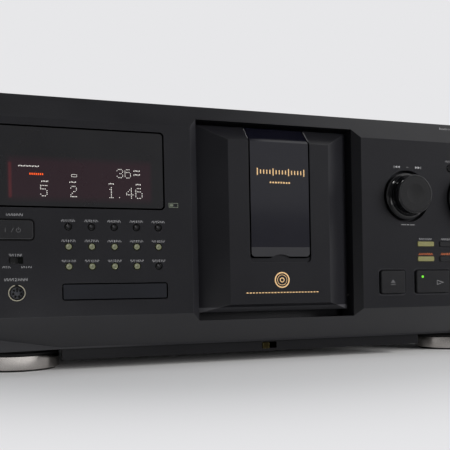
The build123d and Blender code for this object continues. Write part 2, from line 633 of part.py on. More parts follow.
def make_display_module():
    """Glass display tube standing on the left board."""
    return block(DISPLAY_LEFT_X, DISPLAY_RIGHT_X, BOARD_DEPTH - DISPLAY_THICK, BOARD_DEPTH,
                 DISPLAY_LOW_Z, DISPLAY_HIGH_Z)


# ================================================================ front door
def door_section(depth, wall):
    """Half-width, low edge and high edge of the door at a depth, one wall in from its outside."""
    share = (depth - DOOR_SETBACK) / (DOOR_BEVEL_D - DOOR_SETBACK)
    run = DOOR_BEVEL_D - DOOR_SETBACK
    edges = []
    for face, back in ((DOOR_FACE_HALF_W, DOOR_HALF_W), (-DOOR_FACE_LOW_Z, -DOOR_LOW_Z),
                       (DOOR_FACE_HIGH_Z, DOOR_HIGH_Z)):
        spread = back - face
        edges.append(face + spread * share - wall * math.hypot(run, spread) / run)
    return edges[0], -edges[1], edges[2]


def door_rectangle(depth, wall):
    """The door's rectangular section at a depth as a flat face."""
    half_w, low, high = door_section(depth, wall)
    place = Plane(origin=(0, FRONT_Y + depth, (low + high) / 2), x_dir=(1, 0, 0), z_dir=(0, 1, 0))
    return (place * Rectangle(2 * half_w, high - low)).face()


def door_bulk(wall, start, end):
    """Pillow shape of the door from one depth to another, one wall in from its outside."""
    half_w, low, high = door_section(DOOR_BEVEL_D, wall)
    bevelled = loft([door_rectangle(start, wall), door_rectangle(DOOR_BEVEL_D, wall)], ruled=True)
    return bevelled + block(-half_w, half_w, DOOR_BEVEL_D, end, low, high)


def window_layer(low_z, half_w, thick, top_depth):
    """Layer of the door's outside, over its face and up its top bevel."""
    lean = math.atan2(DOOR_HIGH_Z - DOOR_FACE_HIGH_Z, DOOR_BEVEL_D - DOOR_SETBACK)
    bend = thick * math.tan((math.pi / 2 - lean) / 2)
    rise = math.tan(lean)
    top_z = DOOR_FACE_HIGH_Z + (top_depth - DOOR_SETBACK) * rise
    inner_top_z = top_z - thick / math.cos(lean)
    outline = [(DOOR_SETBACK, low_z), (DOOR_SETBACK, DOOR_FACE_HIGH_Z), (top_depth, top_z),
               (top_depth, inner_top_z), (DOOR_SETBACK + thick, DOOR_FACE_HIGH_Z - bend),
               (DOOR_SETBACK + thick, low_z)]
    layer = side_profile(outline, -half_w, half_w)
    height = 2 * (DOOR_HIGH_Z - low_z)
    return layer & rounded_y(0, low_z + height / 2, 2 * half_w, height, DWIN_CORNER_R, -1, DOOR_BACK)


def make_front_door():
    """Hollow door with bevelled sides, a window channel and two hinge bosses."""
    outside = door_bulk(0, DOOR_SETBACK, DOOR_BACK)
    door = outside - door_bulk(DOOR_WALL, DOOR_SETBACK + DOOR_WALL, DOOR_BACK + 1)
    channel_depth = DWIN_THICK + SEAT_GAP
    door -= window_layer(DWIN_CHANNEL_LOW_Z, DWIN_HALF_W + DWIN_GAP, channel_depth, DOOR_BEVEL_D)
    limit = door_bulk(0, DOOR_SETBACK, HINGE_DEPTH + HINGE_BOSS_R)
    for side in (-1, 1):
        ends = sorted((side * DOOR_HALF_W, side * (DOOR_HALF_W - HINGE_BOSS_L)))
        door += rod_x(HINGE_DEPTH, HINGE_Z, HINGE_BOSS_R, *ends) & limit
        bore_ends = sorted((side * (DOOR_HALF_W + 1), side * (DOOR_HALF_W - HINGE_BOSS_L)))
        door -= rod_x(HINGE_DEPTH, HINGE_Z, HINGE_PIN_R + PRESS_GAP, *bore_ends)
    return door


def make_door_window():
    """Bent acrylic strip lying in the door's channel, with a thumb notch in its foot."""
    window = window_layer(DWIN_LOW_Z, DWIN_HALF_W, DWIN_THICK, DOOR_BEVEL_D)
    notch_z = DWIN_LOW_Z + NOTCH_RISE - NOTCH_R
    return window - rod_y(0, notch_z, NOTCH_R, -1, DOOR_BACK)


def gear_x(teeth, phase, bore, depth, z, x0, x1):
    """Gear turning about an X axis; its phase is measured from +Y towards +Z."""
    face = ring_face(gear_points(teeth, DOOR_MODULE, phase), bore)
    place = Plane(origin=(x0, FRONT_Y + depth, z), x_dir=(0, 1, 0), z_dir=(1, 0, 0))
    return extrude(place * face, amount=x1 - x0)


def make_door_gear_shaft():
    """Left hinge pin, and the right one that runs on through the jamb to the door's gear."""
    x1 = DOOR_GEAR_X + DOOR_GEAR_W
    seat = DOOR_HALF_W - HINGE_BOSS_L + SEAT_GAP
    left = rod_x(HINGE_DEPTH, HINGE_Z, HINGE_PIN_R, -JAMB_X, -seat)
    right = rod_x(HINGE_DEPTH, HINGE_Z, HINGE_PIN_R, seat, x1)
    gear = gear_x(DOOR_GEAR_TEETH, 0, HINGE_PIN_R / 2, HINGE_DEPTH, HINGE_Z, DOOR_GEAR_X, x1)
    return Compound(children=[left, (right + gear).solid()])


def make_door_drive_gear():
    """Pinion on the door motor's shaft."""
    x1 = DOOR_GEAR_X + DOOR_GEAR_W
    gear = gear_x(DOOR_PINION_TEETH, DOOR_PINION_PHASE, MOTOR_SHAFT_R / 2, DOOR_PINION_DEPTH,
                  HINGE_Z, DOOR_GEAR_X, x1)
    shaft_end = DOOR_PLATE_X + DOOR_PLATE + DOOR_MOTOR_LEN / 2
    return gear + rod_x(DOOR_PINION_DEPTH, HINGE_Z, MOTOR_SHAFT_R, DOOR_GEAR_X, shaft_end)


# ================================================================ buttons
def round_button(x, z, cap_r, hole_r, proud):
    """Round cap with a flange behind the panel and a stem."""
    cap = rod_y(x, z, cap_r, -proud, BUTTON_FLANGE + FLANGE_THICK)
    cap = fillet(cap.edges().filter_by(GeomType.CIRCLE).sort_by(Axis.Y)[:1], CAP_EDGE_R)
    flange = rod_y(x, z, hole_r + FLANGE_OUT, BUTTON_FLANGE, BUTTON_FLANGE + FLANGE_THICK)
    return cap + flange + rod_y(x, z, STEM_R, BUTTON_FLANGE, STEM_BACK)


def flat_button(x, z, width, height, corner, gap, proud, edge_r):
    """Rounded rectangular cap with a flange behind the panel and a stem."""
    cap = rounded_y(x, z, width, height, corner, -proud, BUTTON_FLANGE + FLANGE_THICK)
    front = cap.faces().sort_by(Axis.Y)[0]
    cap = fillet(front.edges(), edge_r)
    reach = gap + FLANGE_OUT
    flange = rounded_y(x, z, width + 2 * reach, height + 2 * reach, corner + reach,
                       BUTTON_FLANGE, BUTTON_FLANGE + FLANGE_THICK)
    return cap + flange + rod_y(x, z, STEM_R, BUTTON_FLANGE, STEM_BACK)


def make_timer_slider():
    """Knob of the slide switch at the left end of its slot, with its guide plate."""
    left = TIMER_X - TIMER_SLOT_W / 2 + SLIP_GAP
    x = left + TIMER_KNOB_W / 2
    half_h = TIMER_SLOT_H / 2 - SLIP_GAP
    knob = block(left, left + TIMER_KNOB_W, -TIMER_PROUD, BUTTON_FLANGE, TIMER_Z - half_h, TIMER_Z + half_h)
    knob = fillet(knob.faces().sort_by(Axis.Y)[0].edges(), CAP_EDGE_R)
    half_plate = TIMER_KNOB_W / 2 + FLANGE_OUT
    half_plate_h = TIMER_SLOT_H / 2 + FLANGE_OUT
    return knob + block(x - half_plate, x + half_plate, BUTTON_FLANGE, BUTTON_FLANGE + FLANGE_THICK,
                        TIMER_Z - half_plate_h, TIMER_Z + half_plate_h)


# ================================================================ knobs
def turned_knob(x, z, base_r, face_r, shaft_end):
    """Knob with a flared foot, a dished face and its shaft, turned about Y."""
    def at(radius, depth):
        return Vector(x + radius, FRONT_Y + depth, z)

    face = -KNOB_REACH
    turn = KNOB_EDGE_R * (1 - math.sqrt(0.5))
    outline = [Line(at(0, face), at(face_r - KNOB_EDGE_R, face)),
               ThreePointArc(at(face_r - KNOB_EDGE_R, face), at(face_r - turn, face + turn),
                             at(face_r, face + KNOB_EDGE_R)),
               Line(at(face_r, face + KNOB_EDGE_R), at(face_r, -KNOB_FLARE)),
               TangentArc(at(face_r, -KNOB_FLARE), at(base_r, 0), tangent=(0, 1, 0)),
               Polyline(at(base_r, 0), at(base_r, KNOB_SKIRT), at(KNOB_SHAFT_R, KNOB_SKIRT),
                        at(KNOB_SHAFT_R, shaft_end), at(0, shaft_end), at(0, face))]
    body = revolve(make_face(outline), axis=Axis((x, 0, z), (0, 1, 0)))
    dish = Pos(x, FRONT_Y + face - DISH_R + DISH_DEPTH, z) * Sphere(DISH_R)
    return body - dish


def make_skip_push_sleeve():
    """Sleeve round the end of the skip knob's shaft that it pushes in."""
    start = ENCODER_BACK + SEAT_GAP
    return (rod_y(SKIP_X, SKIP_Z, SLEEVE_R, start, start + SLEEVE_LEN)
            - rod_y(SKIP_X, SKIP_Z, KNOB_SHAFT_R + RUN_GAP, start - 1, start + SLEEVE_LEN + 1))


# ================================================================ boards behind the panel
def switch_at(x, z):
    """Small push switch on the face of a board."""
    half = SWITCH_SIZE / 2
    return block(x - half, x + half, BOARD_DEPTH - SWITCH_LEN, BOARD_DEPTH, z - half, z + half)


def board(x_range, bosses, shaft_holes):
    """Circuit board with screw holes and holes for the knobs' shafts."""
    plate = block(*x_range, BOARD_DEPTH, BOARD_DEPTH + BOARD_THICK, BOARD_LOW_Z, BOARD_HIGH_Z)
    for x, z in bosses:
        plate -= rod_y(x, z, SCREW_HOLE_R, BOARD_DEPTH - 1, BOARD_DEPTH + BOARD_THICK + 1)
    for x, z in shaft_holes:
        plate -= rod_y(x, z, KNOB_SHAFT_R + SLIP_GAP, BOARD_DEPTH - 1, BOARD_DEPTH + BOARD_THICK + 1)
    return plate


def encoder_at(x, z):
    """Square rotary encoder on the back of the right board, with a bore for the shaft."""
    half = ENCODER_SIZE / 2
    body = block(x - half, x + half, BOARD_DEPTH + BOARD_THICK, ENCODER_BACK, z - half, z + half)
    return body - rod_y(x, z, KNOB_SHAFT_R + RUN_GAP, BOARD_DEPTH, ENCODER_BACK + 1)


def make_control_boards():
    """Left and right boards with their switches, the slide switch's case and the encoders."""
    knobs = [(SKIP_X, SKIP_Z), (JOG_X, JOG_Z)]
    solids = [board(LEFT_BOARD_X, LEFT_BOSSES, []), board(RIGHT_BOARD_X, RIGHT_BOSSES, knobs)]
    places = [(x, z) for _, _, x, z in GRID + BARS]
    places += [(x, KEY_Z) for x, _ in KEYS.values()]
    places += [(MENU_X, MENU_Z), (STANDBY_X, STANDBY_Z)]
    solids += [switch_at(x, z) for x, z in places]
    solids += [encoder_at(x, z) for x, z in knobs]
    case_front = BUTTON_FLANGE + FLANGE_THICK + SEAT_GAP
    solids.append(block(TIMER_X - TIMER_SLOT_W, TIMER_X + TIMER_SLOT_W, case_front, BOARD_DEPTH,
                        TIMER_Z - TIMER_SLOT_H, TIMER_Z + TIMER_SLOT_H))
    return Compound(children=solids)


def make_keyboard_socket():
    """Round metal shell with a black core that has six contact holes and a key slot."""
    ring = (rod_y(SOCKET_X, SOCKET_Z, SOCKET_RING_R, -SOCKET_PROUD, BOARD_DEPTH)
            - rod_y(SOCKET_X, SOCKET_Z, SOCKET_CORE_R, -1, BOARD_DEPTH + 1))
    core = rod_y(SOCKET_X, SOCKET_Z, SOCKET_CORE_R - PRESS_GAP, SOCKET_CORE_FRONT, BOARD_DEPTH)
    hole_end = SOCKET_CORE_FRONT + SOCKET_HOLE_DEPTH
    for i in range(SOCKET_PINS):
        angle = 270 - SOCKET_PIN_ARC / 2 + i * SOCKET_PIN_ARC / (SOCKET_PINS - 1)
        dx, dz = polar(SOCKET_PIN_RING, angle)
        core -= rod_y(SOCKET_X + dx, SOCKET_Z + dz, SOCKET_PIN_R, SOCKET_CORE_FRONT - 1, hole_end)
    core -= block(SOCKET_X - SOCKET_PIN_R, SOCKET_X + SOCKET_PIN_R, SOCKET_CORE_FRONT - 1, hole_end,
                  SOCKET_Z + SOCKET_KEY[0], SOCKET_Z + SOCKET_KEY[1])
    return Compound(children=[ring, core])


# ================================================================ case
def make_chassis():
    """Folded chassis: margins that stand on the feet, a deep pan, flanges, posts and ears."""
    front = PAN_FRONT
    chassis = block(-CHASSIS_HALF_W, CHASSIS_HALF_W, front, REAR_IN, MARGIN_Z, FLOOR_Z)
    chassis += block(PAN_LEFT_X, PAN_RIGHT_X, front, PAN_BACK, PAN_Z, FLOOR_Z)
    chassis -= block(PAN_LEFT_X + SHEET, PAN_RIGHT_X - SHEET, front + SHEET, PAN_BACK - SHEET,
                     PAN_FLOOR_Z, FLOOR_Z + 1)
    chassis += block(-CHASSIS_HALF_W, CHASSIS_HALF_W, front, front + SHEET, FLOOR_Z, FLANGE_TOP_Z)
    for side in (-1, 1):
        wall = sorted((side * (CHASSIS_HALF_W - SHEET), side * CHASSIS_HALF_W))
        chassis += block(*wall, front, REAR_IN, FLOOR_Z, FLANGE_TOP_Z)
        for depth in SIDE_SCREW_DEPTHS:
            ends = sorted((side * (CHASSIS_HALF_W - SHEET - 1), side * (CHASSIS_HALF_W + 1)))
            chassis -= rod_x(depth, SIDE_SCREW_Z, SCREW_HOLE_R, *ends)
    chassis -= rounded_y(CLIP_HOLE_X, CLIP_Z, CLIP_HOLE_W, CLIP_HOLE_H, CLIP_HOLE_CORNER, front - 1,
                         front + SHEET + 1)
    chassis += make_idler_post() + make_motor_bridge() + make_lever_ears() + make_board_rests()
    return chassis


def make_idler_post():
    """Stepped post that the idler gear turns on."""
    x, y = IDLER_XY
    depth = CAROUSEL_DEPTH + y
    return (rod_z(x, depth, IDLER_POST_R + IDLER_SHOULDER, PAN_Z + SHEET / 2, GEAR_LOW_Z - SEAT_GAP)
            + rod_z(x, depth, IDLER_POST_R, PAN_FLOOR_Z, IDLER_TOP_Z + GEAR_TOP_GAP / 2))


def make_motor_bridge():
    """Plate on two walls that carries the table motor above its pinion."""
    x, y = PINION_XY
    depth = CAROUSEL_DEPTH + y
    reach = GEAR_MODULE * (PINION_TEETH / 2 + 1) + 1
    outer = reach + SHEET
    top = MOTOR_PLATE_Z + MOTOR_PLATE
    low = MARGIN_Z + SHEET / 2
    plate = block(x - outer, x + outer, depth - outer, depth + outer, MOTOR_PLATE_Z, top)
    plate -= rod_z(x, depth, MOTOR_SHAFT_R + SLIP_GAP, MOTOR_PLATE_Z - 1, top + 1)
    side = block(x + reach, x + outer, depth - outer, depth + outer, low, MOTOR_PLATE_Z)
    rear = block(x - outer, x + outer, depth + reach, depth + outer, low, MOTOR_PLATE_Z)
    return plate + side + rear


def make_lever_ears():
    """Two ears that hold the loading lever's pin."""
    inner = LEVER_THICK / 2 + SLIP_GAP
    outer = inner + LEVER_EAR
    front, back = LEVER_DEPTH - LEVER_W / 2, LEVER_DEPTH + LEVER_W / 2
    ears = block(-outer, outer, front, back, PAN_Z + SHEET / 2, LEVER_Z + LEVER_W / 2)
    ears -= block(-inner, inner, front - 1, back + 1, PAN_FLOOR_Z, LEVER_Z + LEVER_W)
    return ears - rod_x(LEVER_DEPTH, LEVER_Z, LEVER_PIN_R + RUN_GAP, -outer - 1, outer + 1)


def make_board_rests():
    """Two folded tabs under the main board's lower edge."""
    x0, x1 = MAIN_BOARD_X
    front, back = SOCKET_BOARD_DEPTH - REST_W / 2, SOCKET_BOARD_DEPTH + REST_W / 2
    tabs = block(x0, x1, front, back, MARGIN_Z + SHEET / 2, MAIN_BOARD_Z[0])
    return tabs - block(x0 + REST_W, x1 - REST_W, front - 1, back + 1, FLOOR_Z, MAIN_BOARD_Z[0] + 1)


def make_pan_clip():
    """Spring clip hooked in the slot in the pan's front wall."""
    low = CLIP_Z - CLIP_HOLE_H / 2
    x0 = CLIP_HOLE_X - CLIP_HOLE_W / 2 + CLIP_HOLE_CORNER
    x1 = x0 + CLIP_W
    front = PAN_FRONT - CLIP_WIRE - SEAT_GAP
    back = PAN_FRONT + SHEET + SEAT_GAP
    high = low + CLIP_HOLE_H - CLIP_WIRE
    points = [(front, low), (front, high), (front + CLIP_WIRE, high), (front + CLIP_WIRE, low + CLIP_WIRE),
              (back, low + CLIP_WIRE), (back, high), (back + CLIP_WIRE, high), (back + CLIP_WIRE, low)]
    return side_profile(points, x0, x1)


def arch(half_w, low_z, top_z, bend, start, end):
    """Upright slab between two depths whose two upper corners are rounded."""
    face = Pos(0, (low_z + top_z) / 2, 0) * Rectangle(2 * half_w, top_z - low_z)
    face = fillet(face.vertices().sort_by(Axis.Y)[2:], bend)
    place = Plane(origin=(0, FRONT_Y + end, 0), x_dir=(1, 0, 0), z_dir=(0, -1, 0))
    return extrude(place * face, amount=end - start)


def make_top_cover():
    """Folded sheet cover: top, two sides, and tabs at the back for its screws."""
    start = PANEL_BACK + SLIP_GAP
    cover = arch(COVER_HALF_W, COVER_LOW_Z, COVER_TOP_Z, COVER_BEND_R, start, CASE_DEPTH)
    cover -= arch(COVER_IN_HALF_W, COVER_LOW_Z - 1, COVER_TOP_Z - COVER_SHEET, COVER_BEND_R - COVER_SHEET,
                  start - 1, CASE_DEPTH + 1)
    for side in (-1, 1):
        for depth in SIDE_SCREW_DEPTHS:
            ends = sorted((side * (COVER_IN_HALF_W - 1), side * (COVER_HALF_W + 1)))
            cover -= rod_x(depth, SIDE_SCREW_Z, SCREW_HOLE_R, *ends)
    for x in REAR_SCREW_X:
        cover += block(x - TAB_HALF_W, x + TAB_HALF_W, REAR_IN - COVER_SHEET, REAR_IN,
                       REAR_SCREW_Z - TAB_HALF_W, COVER_TOP_Z - COVER_SHEET / 2)
        cover -= rod_y(x, REAR_SCREW_Z, SCREW_HOLE_R, REAR_IN - 2 * COVER_SHEET, REAR_IN + 1)
    return cover


def make_rear_panel():
    """Flat rear plate with holes for the sockets, the cord's gland and the cover's screws."""
    panel = arch(COVER_IN_HALF_W - SLIP_GAP, MARGIN_Z, COVER_TOP_Z - COVER_SHEET - SLIP_GAP,
                 COVER_BEND_R - COVER_SHEET, REAR_IN, CASE_DEPTH)
    holes = [(x, z, JACK_R + SLIP_GAP) for x in JACK_X for z in JACK_Z]
    holes += [(x, JACK_Z[0], CONTROL_R + SLIP_GAP) for x in CONTROL_X]
    holes += [(x, REAR_SCREW_Z, SCREW_HOLE_R) for x in REAR_SCREW_X]
    holes.append((GLAND_X, GLAND_Z, GLAND_R + SLIP_GAP))
    for x, z, radius in holes:
        panel -= rod_y(x, z, radius, REAR_IN - 1, CASE_DEPTH + 1)
    half = OPTICAL_W / 2 + SLIP_GAP
    return panel - block(OPTICAL_X - half, OPTICAL_X + half, REAR_IN - 1, CASE_DEPTH + 1,
                         JACK_Z[0] - half, JACK_Z[0] + half)


def make_rear_sockets():
    """Audio jacks, control jacks and optical socket on their blocks, and the cord's gland."""
    board_face = SOCKET_BOARD_DEPTH + BOARD_THICK
    end = CASE_DEPTH + JACK_LEN
    solids = []
    half = JACK_R + JACK_MARGIN
    for x in JACK_X:
        for z in JACK_Z:
            jack = block(x - half, x + half, board_face, REAR_IN - SEAT_GAP, z - half, z + half)
            jack += rod_y(x, z, JACK_R, REAR_IN - 1, end)
            solids.append(jack - rod_y(x, z, JACK_BORE_R, REAR_IN, end + 1))
    half = OPTICAL_W / 2
    optical = block(OPTICAL_X - half, OPTICAL_X + half, board_face, CASE_DEPTH + CONTROL_REACH,
                    JACK_Z[0] - half, JACK_Z[0] + half)
    mouth = half / 2
    solids.append(optical - block(OPTICAL_X - mouth, OPTICAL_X + mouth, CASE_DEPTH, end,
                                  JACK_Z[0] - mouth, JACK_Z[0] + mouth))
    for x in CONTROL_X:
        jack = rod_y(x, JACK_Z[0], CONTROL_R, board_face, CASE_DEPTH + CONTROL_REACH)
        solids.append(jack - rod_y(x, JACK_Z[0], CONTROL_BORE_R, REAR_IN, end))
    gland = rod_y(GLAND_X, GLAND_Z, GLAND_R, REAR_IN - SHEET, CASE_DEPTH + SHEET)
    gland += rod_y(GLAND_X, GLAND_Z, GLAND_R + GLAND_RIM, CASE_DEPTH + SEAT_GAP, CASE_DEPTH + SHEET)
    gland += rod_y(GLAND_X, GLAND_Z, GLAND_BORE_R + GLAND_RIM, CASE_DEPTH, CASE_DEPTH + SOCKET_REACH)
    bore = rod_y(GLAND_X, GLAND_Z, GLAND_BORE_R, REAR_IN - 2 * SHEET, CASE_DEPTH + 2 * SOCKET_REACH)
    solids.append(gland - bore)
    return Compound(children=solids)


# ================================================================ feet
def foot_places():
    """X, depth and whether the foot has a metal ring."""
    return [(side * FOOT_X, depth, ringed) for side in (-1, 1)
            for depth, ringed in ((FRONT_FOOT_DEPTH, True), (REAR_FOOT_DEPTH, False))]


def make_feet():
    """Four black feet, each with a soft pad below."""
    solids = []
    core_r = FOOT_R - RING_WALL - PRESS_GAP
    for x, depth, ringed in foot_places():
        solids.append(rod_z(x, depth, PAD_R, 0, RING_LOW_Z))
        body_r = core_r if ringed else FOOT_R
        body = rod_z(x, depth, body_r, RING_LOW_Z, RING_HIGH_Z)
        body += rod_z(x, depth, FOOT_R - RING_EDGE_R, RING_HIGH_Z, RING_HIGH_Z + FOOT_STEP)
        solids.append(body + rod_z(x, depth, FOOT_TOP_R, RING_HIGH_Z, MARGIN_Z))
    return Compound(children=solids)


def make_foot_rings():
    """Polished rings round the two front feet."""
    rings = []
    for x, depth, ringed in foot_places():
        if ringed:
            ring = rod_z(x, depth, FOOT_R, RING_LOW_Z, RING_HIGH_Z)
            ring = fillet(ring.edges().filter_by(GeomType.CIRCLE), RING_EDGE_R)
            rings.append(ring - rod_z(x, depth, FOOT_R - RING_WALL, RING_LOW_Z - 1, RING_HIGH_Z + 1))
    return Compound(children=rings)


# ================================================================ carousel
def around_carousel(face, z0, z1):
    """Flat face drawn round the origin, carried up from z0 to z1 round the carousel's axis."""
    return extrude(Pos(0, CAROUSEL_Y, z0) * face, amount=z1 - z0, dir=(0, 0, 1))


def make_carousel_table():
    """Round plate with a ring gear below it."""
    plate = rod_z(0, CAROUSEL_DEPTH, TABLE_R, TABLE_Z, TABLE_Z + TABLE_THICK)
    plate -= rod_z(0, CAROUSEL_DEPTH, WELL_R, TABLE_Z - 1, TABLE_Z + TABLE_THICK + 1)
    root = GEAR_MODULE * (TABLE_TEETH / 2 - 1.15)
    gear = ring_face(gear_points(TABLE_TEETH, GEAR_MODULE, 0), root - GEAR_RIM)
    return plate + around_carousel(gear, GEAR_LOW_Z, TABLE_Z)


def slot_points(edge_r, floor_r, width):
    """Closed outline round the carousel that dips from edge_r to floor_r at every slot."""
    points = []
    for i in range(SLOTS):
        centre = 360 * i / SLOTS
        at_edge = math.degrees(width / 2 / edge_r)
        at_floor = math.degrees(width / 2 / floor_r)
        points += [polar(edge_r, centre - at_edge), polar(floor_r, centre - at_floor),
                   polar(floor_r, centre + at_floor), polar(edge_r, centre + at_edge)]
    return points


def make_slot_combs():
    """Outer and inner rings whose slots hold the discs upright, edge on to the axis."""
    wall_r = TABLE_R - SLIP_GAP
    outer_slots = slot_points(OUTER_COMB_R, wall_r - OUTER_COMB_WALL, SLOT_W)
    opening = Wire(Polyline(*outer_slots, close=True).edges())
    outer = Face(Wire([Edge.make_circle(wall_r)]), [opening])
    inner_slots = slot_points(INNER_COMB_R, INNER_COMB_R - INNER_SLOT_DEPTH, INNER_SLOT_W)
    inner = ring_face(inner_slots, INNER_COMB_R - INNER_COMB_WIDTH)
    base = TABLE_Z + TABLE_THICK
    return Compound(children=[around_carousel(outer, base, OUTER_COMB_Z),
                              around_carousel(inner, base, INNER_COMB_Z)])


def gear_z(teeth, phase, bore, place, z0, z1):
    """Gear turning about a vertical axis at a place measured from the carousel's axis."""
    face = ring_face(gear_points(teeth, GEAR_MODULE, phase), bore)
    return extrude(Pos(place[0], CAROUSEL_Y + place[1], z0) * face, amount=z1 - z0, dir=(0, 0, 1))


def make_idler_gear():
    """Gear between the table's ring gear and the motor's pinion."""
    return gear_z(IDLER_TEETH, IDLER_PHASE, IDLER_POST_R + RUN_GAP, IDLER_XY, GEAR_LOW_Z, IDLER_TOP_Z)


def make_motor_pinion():
    """Pinion with the table motor's shaft."""
    gear = gear_z(PINION_TEETH, PINION_PHASE, MOTOR_SHAFT_R / 2, PINION_XY, GEAR_LOW_Z, IDLER_TOP_Z)
    shaft_end = MOTOR_PLATE_Z + MOTOR_PLATE + MOTOR_LEN / 2
    return gear + rod_z(PINION_XY[0], CAROUSEL_DEPTH + PINION_XY[1], MOTOR_SHAFT_R, GEAR_LOW_Z, shaft_end)


def make_drive_motors():
    """Motor that turns the table, and the smaller one that works the door."""
    x, depth = PINION_XY[0], CAROUSEL_DEPTH + PINION_XY[1]
    foot = MOTOR_PLATE_Z + MOTOR_PLATE
    table_motor = rod_z(x, depth, MOTOR_R, foot, foot + MOTOR_LEN)
    table_motor -= rod_z(x, depth, MOTOR_SHAFT_R + RUN_GAP, foot - 1, foot + MOTOR_LEN / 2 + SLIP_GAP)
    near = DOOR_PLATE_X + DOOR_PLATE
    door_motor = rod_x(DOOR_PINION_DEPTH, HINGE_Z, DOOR_MOTOR_R, near, near + DOOR_MOTOR_LEN)
    door_motor -= rod_x(DOOR_PINION_DEPTH, HINGE_Z, MOTOR_SHAFT_R + RUN_GAP, near - 1,
                        near + DOOR_MOTOR_LEN / 2 + SLIP_GAP)
    return Compound(children=[table_motor, door_motor])


# ================================================================ player deck
def make_player_deck():
    """Fixed collar that the table turns on, the upright deck plate, its rails and spindle motor."""
    collar_r = WELL_R - RUN_GAP
    deck = rod_z(0, CAROUSEL_DEPTH, collar_r, PAN_FLOOR_Z, COLLAR_TOP_Z)
    deck -= rod_z(0, CAROUSEL_DEPTH, collar_r - COLLAR_WALL, PAN_FLOOR_Z + DECK_PLATE, COLLAR_TOP_Z + 1)
    ledge = rod_z(0, CAROUSEL_DEPTH, WELL_R + LEDGE_W, TABLE_Z - SEAT_GAP - LEDGE_W, TABLE_Z - SEAT_GAP)
    deck += ledge - rod_z(0, CAROUSEL_DEPTH, collar_r - COLLAR_WALL / 2, 0, TABLE_Z)
    back = DECK_PLATE_X - DECK_PLATE
    deck += block(back, DECK_PLATE_X, CAROUSEL_DEPTH - DECK_HALF_LEN, CAROUSEL_DEPTH + DECK_HALF_LEN,
                  PAN_FLOOR_Z + DECK_PLATE / 2, DECK_TOP_Z)
    lens_start = SLED_START + SLED_LEN / 2 - LENS_R - SLIP_GAP
    lens_end = lens_start + SLED_TRAVEL + 2 * (LENS_R + SLIP_GAP)
    lens_half = LENS_R + SLIP_GAP
    deck -= block(back - 1, DECK_PLATE_X + 1, CAROUSEL_DEPTH + lens_start, CAROUSEL_DEPTH + lens_end,
                  SPINDLE_Z - lens_half, SPINDLE_Z + lens_half)
    deck -= rod_x(CAROUSEL_DEPTH, SPINDLE_Z, SPINDLE_HOLE_R, back - 1, DECK_PLATE_X + 1)
    far_end = SLED_START + SLED_LEN + SLED_TRAVEL + SLIP_GAP
    for sign in (-1, 1):
        z = SPINDLE_Z + sign * RAIL_SPREAD
        deck += rod_y(RAIL_X, z, RAIL_R, CAROUSEL_DEPTH + SLED_START - RAIL_POST - SLIP_GAP,
                      CAROUSEL_DEPTH + far_end + RAIL_POST)
        for start in (SLED_START - RAIL_POST - SLIP_GAP, far_end):
            deck += block(RAIL_X - RAIL_POST, back + SHEET / 2, CAROUSEL_DEPTH + start,
                          CAROUSEL_DEPTH + start + RAIL_POST, z - RAIL_POST, z + RAIL_POST)
    motor = rod_x(CAROUSEL_DEPTH, SPINDLE_Z, SPINDLE_MOTOR_R, back - SPINDLE_MOTOR_LEN, back)
    motor -= rod_x(CAROUSEL_DEPTH, SPINDLE_Z, SPINDLE_R + RUN_GAP, back - SPINDLE_MOTOR_LEN + 1, back + 1)
    return Compound(children=[deck, motor])


def make_disc_spindle():
    """Spindle with its turntable and centring nose, in line with the disc's hole."""
    shaft_end = DECK_PLATE_X - DECK_PLATE - SPINDLE_MOTOR_LEN + 1 + SLIP_GAP
    return (rod_x(CAROUSEL_DEPTH, SPINDLE_Z, SPINDLE_R, shaft_end, -TURNTABLE_THICK)
            + rod_x(CAROUSEL_DEPTH, SPINDLE_Z, TURNTABLE_R, -TURNTABLE_THICK - DISC_HALF, -DISC_HALF)
            + rod_x(CAROUSEL_DEPTH, SPINDLE_Z, HUB_NOSE_R, -DISC_HALF - 1, DISC_HALF))


def make_pickup_sled():
    """Sled that carries the lens along two rails."""
    x1 = DECK_PLATE_X - DECK_PLATE - SLIP_GAP
    x0 = RAIL_X - RAIL_POST - 1
    start = CAROUSEL_DEPTH + SLED_START
    sled = block(x0, x1, start, start + SLED_LEN, SPINDLE_Z - SLED_H / 2, SPINDLE_Z + SLED_H / 2)
    for sign in (-1, 1):
        z = SPINDLE_Z + sign * RAIL_SPREAD
        sled -= rod_y(RAIL_X, z, RAIL_R + RUN_GAP, start - 1, start + SLED_LEN + 1)
    return sled + rod_x(start + SLED_LEN / 2, SPINDLE_Z, LENS_R, x1 - 1, LENS_TIP_X)


def make_loading_lever():
    """Lever that pushes a disc in towards the player, with its pin."""
    half = LEVER_THICK / 2
    arm = block(-half, half, LEVER_DEPTH - LEVER_W / 2, LEVER_DEPTH + LEVER_W / 2, LEVER_Z - LEVER_W / 2,
                LEVER_Z + LEVER_LEN)
    arm += rod_x(LEVER_DEPTH, LEVER_Z + LEVER_LEN, LEVER_W / 2, -half, half)
    arm -= rod_x(LEVER_DEPTH, LEVER_Z, LEVER_PIN_R + PRESS_GAP, -half - 1, half + 1)
    reach = half + SLIP_GAP + LEVER_EAR
    pin = rod_x(LEVER_DEPTH, LEVER_Z, LEVER_PIN_R, -reach, reach)
    return Compound(children=[arm, pin])


